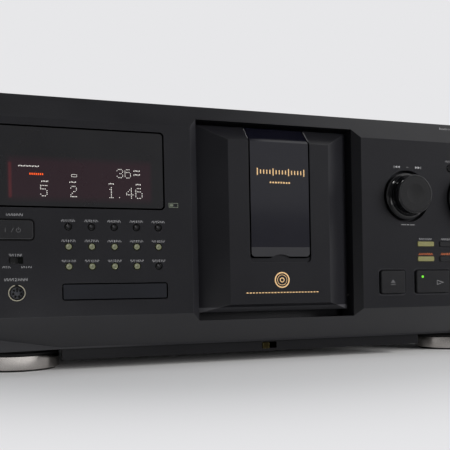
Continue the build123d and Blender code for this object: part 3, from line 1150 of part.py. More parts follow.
# ================================================================ rear electronics
def make_main_board():
    """Upright board that carries the rear sockets, with a heat sink and two capacitors."""
    face = SOCKET_BOARD_DEPTH
    solids = [block(*MAIN_BOARD_X, face, face + BOARD_THICK, *MAIN_BOARD_Z)]
    x, z = MAIN_BOARD_X[1] - PART_SIZE, MAIN_BOARD_Z[1] - PART_SIZE
    front = face - PART_SIZE
    solids.append(block(x - PART_SIZE, x + PART_SIZE / 2, front, face, z - PART_SIZE, z + PART_SIZE / 2))
    for i in (1, 2):
        solids.append(rod_y(x - (i + 1) * PART_SIZE, z, CAPACITOR_R, front, face))
    return Compound(children=solids)


def make_transformer():
    """Laminated core with its winding, on the left margin."""
    x0, x1 = TRANSFORMER_X
    d0, d1 = TRANSFORMER_DEPTH
    inset = TRANSFORMER_LIMB_W
    limb = TRANSFORMER_YOKE_H
    core = block(x0, x1, d0 + inset, d1 - inset, FLOOR_Z, TRANSFORMER_TOP)
    core -= block(x0 + inset, x1 - inset, d0, d1, FLOOR_Z + limb, TRANSFORMER_TOP - limb)
    winding = block(x0 + inset, x1 - inset, d0, d1, FLOOR_Z + limb, TRANSFORMER_TOP - limb)
    return Compound(children=[core, winding])


def screw(seat, direction):
    """Pan-head screw whose head sits on seat and whose shank runs along direction."""
    shank = Plane(origin=seat, z_dir=direction) * Circle(SCREW_R)
    outward = Plane(origin=seat, z_dir=tuple(-Vector(*direction)))
    head = extrude(outward * Circle(SCREW_HEAD_R), amount=SCREW_HEAD)
    rim = head.faces().filter_by(GeomType.PLANE).sort_by_distance(Vector(*seat))[-1]
    head = fillet(rim.edges(), SCREW_HEAD / 2)
    return head + extrude(shank, amount=SCREW_LEN)


def make_screws():
    """Cover screws at the sides and back, and the screws of the two front boards."""
    solids = []
    for side in (-1, 1):
        for depth in SIDE_SCREW_DEPTHS:
            solids.append(screw((side * COVER_HALF_W, FRONT_Y + depth, SIDE_SCREW_Z), (-side, 0, 0)))
    for x in REAR_SCREW_X:
        solids.append(screw((x, FRONT_Y + CASE_DEPTH, REAR_SCREW_Z), (0, -1, 0)))
    for x, z in LEFT_BOSSES + RIGHT_BOSSES:
        solids.append(screw((x, FRONT_Y + BOARD_DEPTH + BOARD_THICK, z), (0, -1, 0)))
    return Compound(children=solids)


# ================================================================ all nodes
def make_nodes():
    """Every node of the changer by name."""
    nodes = {
        "front_panel": make_front_panel(), "display_window": make_display_window(),
        "remote_window": make_remote_window(), "display_module": make_display_module(),
        "front_door": make_front_door(), "door_window": make_door_window(),
        "door_gear_shaft": make_door_gear_shaft(), "door_drive_gear": make_door_drive_gear(),
        "control_boards": make_control_boards(), "keyboard_socket": make_keyboard_socket(),
        "timer_slider": make_timer_slider(),
        "standby_button": flat_button(STANDBY_X, STANDBY_Z, STANDBY_W, STANDBY_H, STANDBY_CORNER_R,
                                      STANDBY_GAP, STANDBY_PROUD, KEY_EDGE_R),
        "menu_button": round_button(MENU_X, MENU_Z, MENU_CAP_R, MENU_HOLE_R, GRID_PROUD),
        "skip_knob": turned_knob(SKIP_X, SKIP_Z, SKIP_BASE_R, SKIP_FACE_R, SKIP_SHAFT_END),
        "skip_push_sleeve": make_skip_push_sleeve(),
        "jog_dial": turned_knob(JOG_X, JOG_Z, JOG_BASE_R, JOG_FACE_R, ENCODER_BACK),
        "chassis": make_chassis(), "pan_clip": make_pan_clip(), "top_cover": make_top_cover(),
        "rear_panel": make_rear_panel(), "rear_sockets": make_rear_sockets(),
        "feet": make_feet(), "foot_rings": make_foot_rings(),
        "carousel_table": make_carousel_table(), "slot_combs": make_slot_combs(),
        "idler_gear": make_idler_gear(), "motor_pinion": make_motor_pinion(),
        "drive_motors": make_drive_motors(), "player_deck": make_player_deck(),
        "disc_spindle": make_disc_spindle(), "pickup_sled": make_pickup_sled(),
        "loading_lever": make_loading_lever(), "main_board": make_main_board(),
        "transformer": make_transformer(), "screws": make_screws(),
    }
    for row, column, x, z in GRID:
        name = f"round_button_{row + 1}_{column + 1}"
        nodes[name] = round_button(x, z, GRID_CAP_R, GRID_HOLE_R, GRID_PROUD)
    for row, column, x, z in BARS:
        name = f"bar_button_{row + 1}_{column + 1}"
        nodes[name] = flat_button(x, z, BAR_W, BAR_H, BAR_CORNER_R, SLIP_GAP, BAR_PROUD, CAP_EDGE_R)
    for name, (x, width) in KEYS.items():
        nodes[name] = flat_button(x, KEY_Z, width, KEY_H, KEY_CORNER_R, KEY_GAP, KEY_PROUD, KEY_EDGE_R)
    return nodes


os.makedirs("parts", exist_ok=True)
for node_name, shape in make_nodes().items():
    export_step(shape, f"parts/{node_name}.step")
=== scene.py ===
"""Looks of the carousel disc changer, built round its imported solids.

Metres, in the solids' own frame: +Z up, X to the right seen from the front, the front faces -Y.
Places on the front are given in millimetres as x, depth behind the panel's flat face, and z.
"""
import math

import bmesh
import bpy
from mathutils import Matrix, Vector


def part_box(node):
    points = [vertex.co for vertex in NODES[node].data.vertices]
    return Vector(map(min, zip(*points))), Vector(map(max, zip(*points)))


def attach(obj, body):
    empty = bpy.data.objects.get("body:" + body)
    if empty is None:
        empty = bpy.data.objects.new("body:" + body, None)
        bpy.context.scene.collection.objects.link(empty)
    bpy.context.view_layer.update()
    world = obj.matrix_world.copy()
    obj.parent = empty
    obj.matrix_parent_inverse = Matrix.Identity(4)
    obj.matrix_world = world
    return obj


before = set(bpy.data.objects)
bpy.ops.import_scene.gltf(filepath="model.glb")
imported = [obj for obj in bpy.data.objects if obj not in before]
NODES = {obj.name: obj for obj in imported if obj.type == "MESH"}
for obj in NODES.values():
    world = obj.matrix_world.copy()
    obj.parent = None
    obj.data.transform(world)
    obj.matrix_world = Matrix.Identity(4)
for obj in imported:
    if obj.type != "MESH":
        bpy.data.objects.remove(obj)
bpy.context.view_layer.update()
MM = 0.001
FRONT_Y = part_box("display_window")[0].y      # the windows lie flush with the panel's face
INK = 0.04                                   # thickness of printed marks, mm
KEY_FACE, STANDBY_FACE = -1.6, -1.0          # depth of the keys' faces, mm

# Places of controls on the front, mm: first button of each group, spacing, and middles of round ones
GRID_X, GRID_Z = -151.4, 99.2
GRID_PITCH_X, GRID_PITCH_Z = 15.07, 13.26
BAR_X, BAR_Z = 122.85, 89.2
BAR_PITCH_X, BAR_PITCH_Z = 20.4, 11.8
SKIP_X, SKIP_Z = 106.6, 126.5
JOG_X, JOG_Z = 170.5, 126.0
SOCKET_X, SOCKET_Z = -184.5, 55.7

NOISE_LOW, NOISE_HIGH = 0.3, 0.7             # range that a noise texture mostly keeps to
BLACK = (0.0, 0.0, 0.0, 1.0)


def place(x, depth, z):
    """Point in metres from millimetres on the front."""
    return Vector((x * MM, FRONT_Y + depth * MM, z * MM))


def srgb(red, green, blue):
    """Linear colour with alpha from 0 to 255 values."""
    def linear(value):
        share = value / 255
        return share / 12.92 if share <= 0.04045 else ((share + 0.055) / 1.055) ** 2.4
    return (linear(red), linear(green), linear(blue), 1.0)


def link(name, data):
    """New object in the scene."""
    holder = bpy.data.objects.new(name, data)
    bpy.context.scene.collection.objects.link(holder)
    return holder


def link_mesh(name, bm):
    """Object at the origin from a bmesh, with its faces turned outwards."""
    bmesh.ops.recalc_face_normals(bm, faces=bm.faces)
    mesh = bpy.data.meshes.new(name)
    bm.to_mesh(mesh)
    bm.free()
    return link(name, mesh)


# ---------------------------------------------------------------- node helpers
class Wiring:
    """Adds nodes to one tree; a number given for an input is set on its socket."""

    def __init__(self, tree):
        self.tree = tree

    def node(self, kind, inputs=(), **settings):
        made = self.tree.nodes.new(kind)
        for key, value in settings.items():
            setattr(made, key, value)
        for key, value in dict(inputs).items():
            self.feed(made.inputs[key], value)
        return made

    def feed(self, socket, value):
        if isinstance(value, bpy.types.NodeSocket):
            self.tree.links.new(value, socket)
        else:
            socket.default_value = value

    def maths(self, operation, first, second=0.0, third=0.0):
        made = self.node("ShaderNodeMath", operation=operation)
        for socket, value in zip(made.inputs, (first, second, third)):
            self.feed(socket, value)
        return made.outputs[0]

    def times(self, first, second):
        return self.maths("MULTIPLY", first, second)

    def minus(self, first, second):
        return self.maths("SUBTRACT", first, second)

    def length(self, first, second):
        """Root of the sum of two squares."""
        return self.maths("SQRT", self.maths("ADD", self.times(first, first), self.times(second, second)))

    def span(self, value, low, high, to_low=0.0, to_high=1.0):
        made = self.node("ShaderNodeMapRange", {"Value": value, "From Min": low, "From Max": high,
                                                "To Min": to_low, "To Max": to_high})
        return made.outputs["Result"]

    def vary(self, noise, low, high):
        """Noise spread between two values."""
        return self.span(noise, NOISE_LOW, NOISE_HIGH, low, high)

    def blend(self, share, first, second):
        made = self.node("ShaderNodeMix", data_type="RGBA")
        self.feed(made.inputs["Factor"], share)
        self.feed(made.inputs[6], first)
        self.feed(made.inputs[7], second)
        return made.outputs[2]

    def scaled(self, colour, factor):
        return self.node("ShaderNodeVectorMath", {0: colour, "Scale": factor}, operation="SCALE").outputs[0]

    def object_place(self):
        return self.node("ShaderNodeTexCoord").outputs["Object"]

    def axes(self):
        """Object coordinates as three values."""
        return self.node("ShaderNodeSeparateXYZ", {"Vector": self.object_place()}).outputs

    def drawn_noise(self, stretch, inputs):
        """Noise drawn out along X."""
        spot = self.axes()
        along = self.maths("DIVIDE", spot["X"], stretch)
        pulled = self.node("ShaderNodeCombineXYZ", {"X": along, "Y": spot["Y"], "Z": spot["Z"]})
        return self.node("ShaderNodeTexNoise", {"Vector": pulled.outputs[0], **inputs}).outputs["Fac"]

    def bump(self, shader, strength, depth, height, **inputs):
        """Relief of a depth in mm, on the shader's normal."""
        made = self.node("ShaderNodeBump", {"Strength": strength, "Distance": depth * MM, "Height": height,
                                            **inputs})
        self.feed(shader.inputs["Normal"], made.outputs[0])


def effect(name, inputs, outputs):
    """New shader group with named float inputs and outputs, its wiring, and both ends' sockets."""
    tree = bpy.data.node_groups.new(name, "ShaderNodeTree")
    for label, value in inputs.items():
        socket = tree.interface.new_socket(name=label, in_out="INPUT", socket_type="NodeSocketFloat")
        socket.default_value = value
    for label, kind in outputs.items():
        tree.interface.new_socket(name=label, in_out="OUTPUT", socket_type="NodeSocket" + kind)
    w = Wiring(tree)
    return tree, w, w.node("NodeGroupInput").outputs, w.node("NodeGroupOutput").inputs


def make_grain():
    """Fine even texture of a moulded or painted surface, with slow uneven sheen."""
    tree, w, given, out = effect("fine_grain", {"Scale": 2500.0, "Stretch": 1.0},
                                 {"Height": "Float", "Shade": "Float", "Sheen": "Float"})
    fine = w.drawn_noise(given["Stretch"], {"Scale": given["Scale"], "Detail": 3.0, "Roughness": 0.6})
    slow = w.node("ShaderNodeTexNoise", {"Vector": w.object_place(), "Scale": 26.0, "Detail": 4.0})
    w.feed(out["Height"], fine)
    w.feed(out["Shade"], fine)
    w.feed(out["Sheen"], slow.outputs["Fac"])
    return tree


def make_specks():
    """Sparse small specks of dust."""
    tree, w, given, out = effect("dust_specks", {"Scale": 75.0, "Size": 0.02, "Share": 0.35},
                                 {"Mask": "Float"})
    cells = w.node("ShaderNodeTexVoronoi", {"Vector": w.object_place(), "Scale": given["Scale"]}).outputs
    pick = w.node("ShaderNodeSeparateColor", {"Color": cells["Color"]}).outputs
    inside = w.maths("LESS_THAN", cells["Distance"], w.times(given["Size"], pick["Green"]))
    chosen = w.maths("LESS_THAN", pick["Red"], given["Share"])
    faint = w.times(pick["Blue"], 0.8)
    w.feed(out["Mask"], w.times(w.times(inside, chosen), faint))
    return tree


def make_edges():
    """Rounded look of sharp edges, and a mask of the strip along them that takes a painted highlight."""
    tree, w, given, out = effect("soft_edges", {"Radius": 0.0003}, {"Mask": "Float", "Normal": "Vector"})
    rounded = w.node("ShaderNodeBevel", {"Radius": given["Radius"]}, samples=6).outputs[0]
    flat = w.node("ShaderNodeNewGeometry").outputs["Normal"]
    along = w.node("ShaderNodeVectorMath", {0: rounded, 1: flat}, operation="DOT_PRODUCT")
    w.feed(out["Mask"], w.span(along.outputs["Value"], 0.999, 0.8))
    w.feed(out["Normal"], rounded)
    return tree


def make_brushing():
    """Fine lines left by brushing or drawing along X."""
    tree, w, given, out = effect("brushed_lines", {"Scale": 1500.0, "Length": 60.0}, {"Height": "Float"})
    w.feed(out["Height"], w.drawn_noise(given["Length"], {"Scale": given["Scale"], "Detail": 2.0}))
    return tree


def make_turning():
    """Rings left by turning, round an axis along Y through a given X and Z."""
    tree, w, given, out = effect("turned_rings", {"Centre X": 0.0, "Centre Z": 0.0, "Pitch": 0.0006},
                                 {"Height": "Float", "Distance": "Float"})
    spot = w.axes()
    distance = w.length(w.minus(spot["X"], given["Centre X"]), w.minus(spot["Z"], given["Centre Z"]))
    turns = w.maths("DIVIDE", distance, given["Pitch"])
    w.feed(out["Height"], w.maths("SINE", w.times(turns, 2 * math.pi)))
    w.feed(out["Distance"], distance)
    return tree


def make_border():
    """Line along the inside of a rounded rectangle in X and Z; all places in metres."""
    tree, w, given, out = effect("border_line", {"Centre X": 0.0, "Centre Z": 0.0, "Half X": 0.01,
                                                 "Half Z": 0.01, "Corner": 0.002, "Width": 0.0005},
                                 {"Mask": "Float", "Inside": "Float"})
    spot, beyond = w.axes(), []
    for axis in ("X", "Z"):
        away = w.maths("ABSOLUTE", w.minus(spot[axis], given["Centre " + axis]))
        straight = w.minus(given["Half " + axis], given["Corner"])
        beyond.append(w.maths("MAXIMUM", w.minus(away, straight), 0.0))
    reach = w.length(*beyond)
    w.feed(out["Mask"], w.maths("GREATER_THAN", reach, w.minus(given["Corner"], given["Width"])))
    w.feed(out["Inside"], w.maths("LESS_THAN", reach, given["Corner"]))
    return tree


GRAIN, SPECKS, EDGES, BRUSHING, TURNING, BORDER = (
    make() for make in (make_grain, make_specks, make_edges, make_brushing, make_turning, make_border))


# ---------------------------------------------------------------- materials
def start_material(name, constants):
    """Empty material with a Principled shader whose constant sockets are set."""
    material = bpy.data.materials.new(name)
    material.use_nodes = True
    w = Wiring(material.node_tree)
    shader = material.node_tree.nodes["Principled BSDF"]
    for key, value in constants.items():
        shader.inputs[key].default_value = value
    return material, w, shader


def use(w, group, **inputs):
    """Outputs of a placed shader group."""
    placed = w.tree.nodes.new("ShaderNodeGroup")
    placed.node_tree = group
    for key, value in inputs.items():
        w.feed(placed.inputs[key.replace("_", " ")], value)
    return placed.outputs


def border(w, limits, corner, width):
    """Border line of a rounded rectangle given in mm."""
    (low_x, high_x), (low_z, high_z) = limits
    return use(w, BORDER, Centre_X=(low_x + high_x) / 2 * MM, Centre_Z=(low_z + high_z) / 2 * MM,
               Half_X=(high_x - low_x) / 2 * MM, Half_Z=(high_z - low_z) / 2 * MM,
               Corner=corner * MM, Width=width * MM)


def finish(name, colour, rough, grain=2500.0, stretch=1.0, depth=0.02, shade=0.25, sheen=0.12, edge=0.0003,
           edge_highlight_colour=None, dust=0.0, brushed=0.0, shade_and_highlight_lines=(), **constants):
    """Moulded, painted or metal finish: grain, uneven sheen, soft edges with a painted highlight along them,
    and dust.

    The painted lines round openings: a dark line is painted shade in a gap, a light line is painted light on
    a chamfer or bevel; each gives low and high x and z in mm, corner radius, width and colour.
    """
    material, w, shader = start_material(name, constants)
    texture = use(w, GRAIN, Scale=grain, Stretch=stretch)
    tone = w.times(w.vary(texture["Shade"], 1 - shade, 1 + shade), w.vary(texture["Sheen"], 0.92, 1.08))
    surface = w.scaled(colour[:3], tone)
    edges = use(w, EDGES, Radius=edge)
    # painted highlight: the colour is lightened to a paler tone along the edges' mask
    highlight_on_edges = edge_highlight_colour or tuple(min(1.0, part * 1.7 + 0.004) for part in colour[:3]) + (1.0,)
    surface = w.blend(edges["Mask"], surface, highlight_on_edges)
    if dust:
        surface = w.blend(use(w, SPECKS, Share=dust)["Mask"], surface, srgb(176, 172, 164))
    # painted shade and painted light: a line of tone along the inside of each opening's outline
    for limits, corner, width, tint in shade_and_highlight_lines:
        line = border(w, limits, corner, width)
        along = w.times(line["Mask"], line["Inside"])
        surface = w.blend(w.times(along, 0.9), surface, tint)
    w.feed(shader.inputs["Base Color"], surface)
    w.feed(shader.inputs["Roughness"], w.vary(texture["Sheen"], rough - sheen, rough + sheen))
    height = use(w, BRUSHING, Scale=1500.0, Length=brushed)["Height"] if brushed else texture["Height"]
    w.bump(shader, 0.35, depth, height, Normal=edges["Normal"])
    return material


def glow_material(name, colour, strength):
    """Lit mark of a display or lamp, slightly uneven."""
    material, w, shader = start_material(name, {"Emission Strength": strength,
                                                "Base Color": (0.01, 0.01, 0.01, 1)})
    texture = use(w, GRAIN, Scale=1200.0, Stretch=1.0)
    w.feed(shader.inputs["Emission Color"], w.scaled(colour[:3], w.vary(texture["Shade"], 0.85, 1.1)))
    w.feed(shader.inputs["Roughness"], w.vary(texture["Sheen"], 0.3, 0.5))
    return material


def print_material(name, colour):
    """Printed mark, a little thin in places."""
    return finish(name, colour, 0.6, grain=6000.0, shade=0.2, depth=0.005, edge=0.0)


def knob_material(name, centre_x, centre_z, face_r):
    """Satin knob with a glossy rim, fine turning lines and painted shade darkening its dished middle."""
    material, w, shader = start_material(name, {"Specular IOR Level": 0.9, "Coat Weight": 0.2,
                                                "Coat Roughness": 0.1})
    texture = use(w, GRAIN, Scale=3500.0, Stretch=1.0)
    rings = use(w, TURNING, Centre_X=centre_x * MM, Centre_Z=centre_z * MM, Pitch=0.35 * MM)
    # painted shade: the colour darkens towards the middle of the dish
    dish_shade = w.span(rings["Distance"], face_r * 0.25 * MM, face_r * 0.6 * MM, 0.7, 1.0)
    tone = w.times(dish_shade, w.vary(texture["Shade"], 0.85, 1.15))
    w.feed(shader.inputs["Base Color"], w.scaled(srgb(17, 17, 19)[:3], tone))
    face = w.span(rings["Distance"], face_r * 0.86 * MM, face_r * 0.94 * MM, 0.27, 0.0)
    w.feed(shader.inputs["Roughness"], w.maths("ADD", face, w.vary(texture["Sheen"], 0.07, 0.12)))
    w.bump(shader, 0.12, 0.01, rings["Height"])
    return material


def display_shine(w, texture, shader):
    """Painted light: faint reddish shine of the lit display behind, emitted by the window itself, brighter in
    a strip at the left.
    """
    spot = w.axes()

    def band(axis, low, high, soft):
        rise = w.span(spot[axis], (low - soft) * MM, (low + soft) * MM)
        fall = w.span(spot[axis], (high + soft) * MM, (high - soft) * MM)
        return w.times(rise, fall)

    shine = w.times(band("X", -188.5, -95.5, 1.5), band("Z", 117.2, 143.5, 2.5))
    shine = w.times(shine, w.vary(texture["Shade"], 0.8, 1.2))
    strip = w.times(band("X", -188.2, -186.3, 0.5), band("Z", 117.8, 140.5, 0.8))
    colour = w.blend(shine, BLACK, (0.0110, 0.0002, 0.0030, 1.0))
    w.feed(shader.inputs["Emission Color"], w.blend(strip, colour, (0.055, 0.005, 0.007, 1.0)))
    shader.inputs["Emission Strength"].default_value = 1.0


def window_material(name, colour, rough, haze, box, corner, line, lit=False, foot=None, mirror=0.5):
    """Smoked acrylic: glossy, dark, hazy and dusty, with painted shade in a black line round its edge, where
    its gap lies.

    box is the low and high x and z of the window in mm; lit paints the shine of a display on the window;
    foot is the height up to which the acrylic is frosted.
    """
    material, w, shader = start_material(name, {"IOR": 1.49, "Specular IOR Level": mirror})
    texture = use(w, GRAIN, Scale=900.0, Stretch=1.0)
    surface = w.scaled(colour[:3], w.vary(texture["Sheen"], 1 - haze, 1 + haze))
    roughness = w.vary(texture["Sheen"], rough * 0.7, rough * 1.3)
    if foot:
        frosted = w.maths("LESS_THAN", w.axes()["Z"], foot * MM)
        surface = w.blend(frosted, surface, srgb(42, 42, 45))
        roughness = w.maths("MAXIMUM", roughness, w.times(frosted, 0.45))
    specks = use(w, SPECKS, Share=0.3, Scale=90.0, Size=0.016)
    surface = w.blend(specks["Mask"], surface, srgb(150, 148, 145))
    # painted shade: a black line round the window's edge stands in for the dark gap
    gap_shade = border(w, box, corner, line)["Mask"]
    # painted light: the display's glow is emitted by the window
    if lit:
        display_shine(w, texture, shader)
    w.feed(shader.inputs["Base Color"], w.blend(gap_shade, surface, BLACK))
    w.feed(shader.inputs["Metallic"], gap_shade)
    w.feed(shader.inputs["Roughness"], w.maths("MAXIMUM", roughness, gap_shade))
    w.bump(shader, 0.1, 0.01, texture["Sheen"])
    return material


def cap_material(name, pitches, starts, rim, colours, glow, rough):
    """Small cap, shaded in rings round its own middle and repeated at the buttons' spacing.

    colours are those of its core, its body, its edge and the gleam at its upper left: the gleam is a painted
    highlight, the darker edge painted shade where the cap meets its well.
    """
    middle, body, outer, shine = colours
    material, w, shader = start_material(name, {"Emission Strength": glow})
    spot = w.axes()
    offsets, gleam_offsets = [], []
    for axis, pitch, start, shift in zip("XZ", pitches, starts, (-0.6, 0.65)):
        wrapped = w.maths("WRAP", spot[axis], (start + pitch / 2) * MM, (start - pitch / 2) * MM)
        offsets.append(w.minus(wrapped, start * MM))
        gleam_offsets.append(w.minus(offsets[-1], shift * MM))
    distance = w.length(*offsets)
    texture = use(w, GRAIN, Scale=1800.0, Stretch=1.0)
    colour = w.blend(w.span(distance, 0.35 * MM, rim * 0.55 * MM), middle, body)
    # painted highlight at the cap's upper left
    gleam = w.span(w.length(*gleam_offsets), 0.75 * MM, 0.3 * MM)
    colour = w.blend(w.times(gleam, 0.6), colour, shine)
    # painted shade: the edge colour darkens the rim where the cap meets its well
    colour = w.blend(w.span(distance, rim * 0.82 * MM, rim * MM), colour, outer)
    tinted = w.scaled(colour, w.vary(texture["Shade"], 0.9, 1.1))
    w.feed(shader.inputs["Base Color"], tinted)
    w.feed(shader.inputs["Emission Color"], tinted)
    w.feed(shader.inputs["Roughness"], w.vary(texture["Sheen"], rough, rough + 0.12))
    return material


def socket_material(name):
    """Black socket mouldings: the front one has a bare metal shield, the rear ones coloured rings."""
    material, w, shader = start_material(name, {})
    texture = use(w, GRAIN, Scale=2600.0, Stretch=1.0)
    rings = use(w, TURNING, Centre_X=SOCKET_X * MM, Centre_Z=SOCKET_Z * MM, Pitch=0.3 * MM)
    spot, away = w.axes(), rings["Distance"]

    # shield, open at the top
    shield = w.maths("COMPARE", away, 5.05 * MM, 0.27 * MM)
    beside = w.maths("COMPARE", spot["X"], SOCKET_X * MM, 1.1 * MM)
    gap = w.times(beside, w.maths("GREATER_THAN", spot["Z"], 58.0 * MM))
    shield = w.times(shield, w.minus(1.0, gap))

    # core with a ring of holes
    turn = w.maths("ARCTAN2", w.minus(spot["Z"], SOCKET_Z * MM), w.minus(spot["X"], SOCKET_X * MM))
    step = math.radians(51)
    swing = w.maths("WRAP", w.minus(turn, math.radians(-13.5)), step / 2, -step / 2)
    hole = w.length(w.times(swing, away), w.minus(away, 2.6 * MM))
    core = w.times(w.maths("LESS_THAN", away, 3.9 * MM), w.maths("GREATER_THAN", hole, 0.85 * MM))

    plastic = w.blend(texture["Shade"], srgb(8, 8, 9), srgb(13, 13, 14))
    plastic = w.blend(core, plastic, srgb(52, 53, 57))
    plastic = w.blend(shield, plastic, srgb(158, 154, 138))

    # insulators of the audio jacks at the rear
    behind = w.maths("GREATER_THAN", spot["Y"], 0.2)
    across = w.minus(w.maths("ABSOLUTE", w.minus(spot["X"], 30 * MM)), 10 * MM)
    for height, tint in ((52.0, srgb(190, 34, 30)), (70.0, srgb(222, 220, 212))):
        reach = w.length(across, w.minus(spot["Z"], height * MM))
        plastic = w.blend(w.times(w.maths("LESS_THAN", reach, 4.6 * MM), behind), plastic, tint)

    w.feed(shader.inputs["Base Color"], plastic)
    w.feed(shader.inputs["Metallic"], w.times(shield, 0.3))
    w.feed(shader.inputs["Roughness"], w.vary(texture["Sheen"], 0.24, 0.4))
    w.bump(shader, 0.3, 0.01, texture["Height"])
    return material


# ---------------------------------------------------------------- camera, lights and ground
BACKDROP = srgb(231, 231, 233)
FLOOR_NEAR = srgb(247, 247, 248)
FADE_START, FADE_END = 0.3, 0.5      # distance from the middle at which the floor turns into backdrop

# What glossy surfaces mirror: name, two opposite corners of a flat card, and brightness
CARDS = (
    ("side_card", (-3.2, 1.0, -0.02), (-3.2, -3.4, 3.0), 0.03),
    ("left_card", (-3.2, -3.4, -0.02), (-1.2, -3.4, 3.0), 0.05),
    ("front_card", (-1.2, -3.4, 0.4), (4.5, -3.4, 3.0), 0.15),
    ("window_card", (0.8, -3.3, 0.2), (1.9, -3.3, 1.3), 0.42),
    ("low_card", (-1.2, -1.5, 0.0), (4.5, -1.5, 0.3), 0.2),
    ("mat_card", (-3.2, -3.4, 0.001), (4.5, -0.37, 0.001), 0.08),
    ("left_strip", (-0.4, -0.37, 0.001), (-0.1, -0.25, 0.001), 1.35),
    ("right_strip", (-0.1, -0.37, 0.001), (0.4, -0.25, 0.001), 0.2),
    ("ceiling_card", (-3.2, -3.4, 3.0), (1.0, 1.2, 3.0), 0.03),
    ("right_card", (1.0, -3.4, 3.0), (4.5, 1.2, 3.0), 0.5),
    ("glint_card", (-0.95, -1.25, 2.4), (-0.55, -0.85, 2.4), 11.0))


def make_camera():
    """Camera fitted to the photograph's view; the place is in mm on the front."""
    yaw, pitch, roll = (math.radians(angle) for angle in (16.43, -0.47, -1.117))
    look = Vector((math.sin(yaw) * math.cos(pitch), math.cos(yaw) * math.cos(pitch), math.sin(pitch)))
    level = Vector((math.cos(yaw), -math.sin(yaw), 0))
    upright = level.cross(look)
    right = level * math.cos(roll) + upright * math.sin(roll)
    up = upright * math.cos(roll) - level * math.sin(roll)
    camera = link("camera", bpy.data.cameras.new("camera"))
    camera.data.lens = 47.96
    camera.data.shift_y = 0.1669
    camera.data.clip_start = 0.02
    turn = Matrix((right, up, -look)).transposed().to_4x4()
    camera.matrix_world = Matrix.Translation(place(-165.16, -411.26, 51.68)) @ turn
    bpy.context.scene.camera = camera


def make_world():
    """Soft even light; the camera, mirrors and glass see the plain backdrop instead."""
    world = bpy.data.worlds.new("studio")
    world.use_nodes = True
    bpy.context.scene.world = world
    world.node_tree.nodes.clear()
    w = Wiring(world.node_tree)
    path = w.node("ShaderNodeLightPath").outputs
    seen = w.maths("MAXIMUM", path["Is Camera Ray"], path["Is Glossy Ray"])
    seen = w.maths("MAXIMUM", seen, path["Is Transmission Ray"])
    light = w.node("ShaderNodeBackground", {"Color": (0.93, 0.96, 1.0, 1.0), "Strength": 0.32})
    back = w.node("ShaderNodeBackground", {"Color": BACKDROP})
    mix = w.node("ShaderNodeMixShader", {"Fac": seen, 1: light.outputs[0], 2: back.outputs[0]})
    w.node("ShaderNodeOutputWorld", {"Surface": mix.outputs[0]})


def add_lamp(name, direction, distance, size, level, colour=(1.0, 1.0, 1.0)):
    """Square lamp aimed at the changer; level 1 lights a facing white surface to white.

    It leaves no reflection: what glossy surfaces mirror are the cards.
    """
    lamp = bpy.data.lights.new(name, "AREA")
    lamp.size = size
    lamp.energy = math.pi ** 2 * level * distance ** 2
    lamp.color = colour
    holder = link(name, lamp)
    holder.visible_glossy = False
    aim = Vector(direction).normalized()
    target = Vector((0, FRONT_Y, 0.1))
    turn = aim.to_track_quat("Z", "Y").to_matrix().to_4x4()
    holder.matrix_world = Matrix.Translation(target + aim * distance) @ turn


def make_floor():
    """Matt pale floor that turns into the backdrop's tone away from the changer and its shadow."""
    bm = bmesh.new()
    bmesh.ops.create_circle(bm, cap_ends=True, segments=96, radius=9.0)
    floor = link_mesh("floor", bm)
    material, w, shader = start_material("pale_floor", {"Base Color": FLOOR_NEAR, "Roughness": 0.7,
                                                        "Specular IOR Level": 0.0})
    away = w.node("ShaderNodeVectorMath", {0: w.object_place()}, operation="LENGTH")
    fade = w.node("ShaderNodeMapRange", {"Value": away.outputs["Value"], "From Min": FADE_START,
                                         "From Max": FADE_END}, interpolation_type="SMOOTHSTEP")
    path = w.node("ShaderNodeLightPath").outputs
    seen = w.maths("MAXIMUM", path["Is Camera Ray"], path["Is Glossy Ray"])
    far = w.node("ShaderNodeEmission", {"Color": BACKDROP})
    mix = w.node("ShaderNodeMixShader", {"Fac": w.times(seen, fade.outputs["Result"]),
                                         1: shader.outputs[0], 2: far.outputs[0]})
    w.feed(w.tree.nodes["Material Output"].inputs["Surface"], mix.outputs[0])
    floor.data.materials.append(material)


def make_card(name, low, high, grey):
    """Flat card of the studio, upright or level, that only reflections see."""
    (x0, y0, z0), (x1, y1, z1) = low, high
    second = (x1, y0, z0) if x1 != x0 else (x0, y1, z0)
    fourth = (x0, y0, z1) if z1 != z0 else (x0, y1, z0)
    bm = bmesh.new()
    bm.faces.new([bm.verts.new(corner) for corner in (low, second, high, fourth)])
    card = link_mesh(name, bm)
    material = bpy.data.materials.new(name)
    material.use_nodes = True
    material.node_tree.nodes.clear()
    w = Wiring(material.node_tree)
    glow = w.node("ShaderNodeEmission", {"Color": (grey, grey, grey, 1.0)})
    w.node("ShaderNodeOutputMaterial", {"Surface": glow.outputs[0]})
    card.data.materials.append(material)
    card.visible_camera = False
    card.visible_diffuse = False
    card.visible_shadow = False
    card.visible_transmission = False


def make_studio():
    make_camera()
    make_world()
    make_floor()
    add_lamp("key_lamp", (0.66, -0.73, 0.23), 2.6, 1.0, 1.25, (1.0, 0.985, 0.965))
    add_lamp("low_lamp", (-0.15, -1.0, 0.0), 2.4, 0.15, 0.12)
    for card in CARDS:
        make_card(*card)


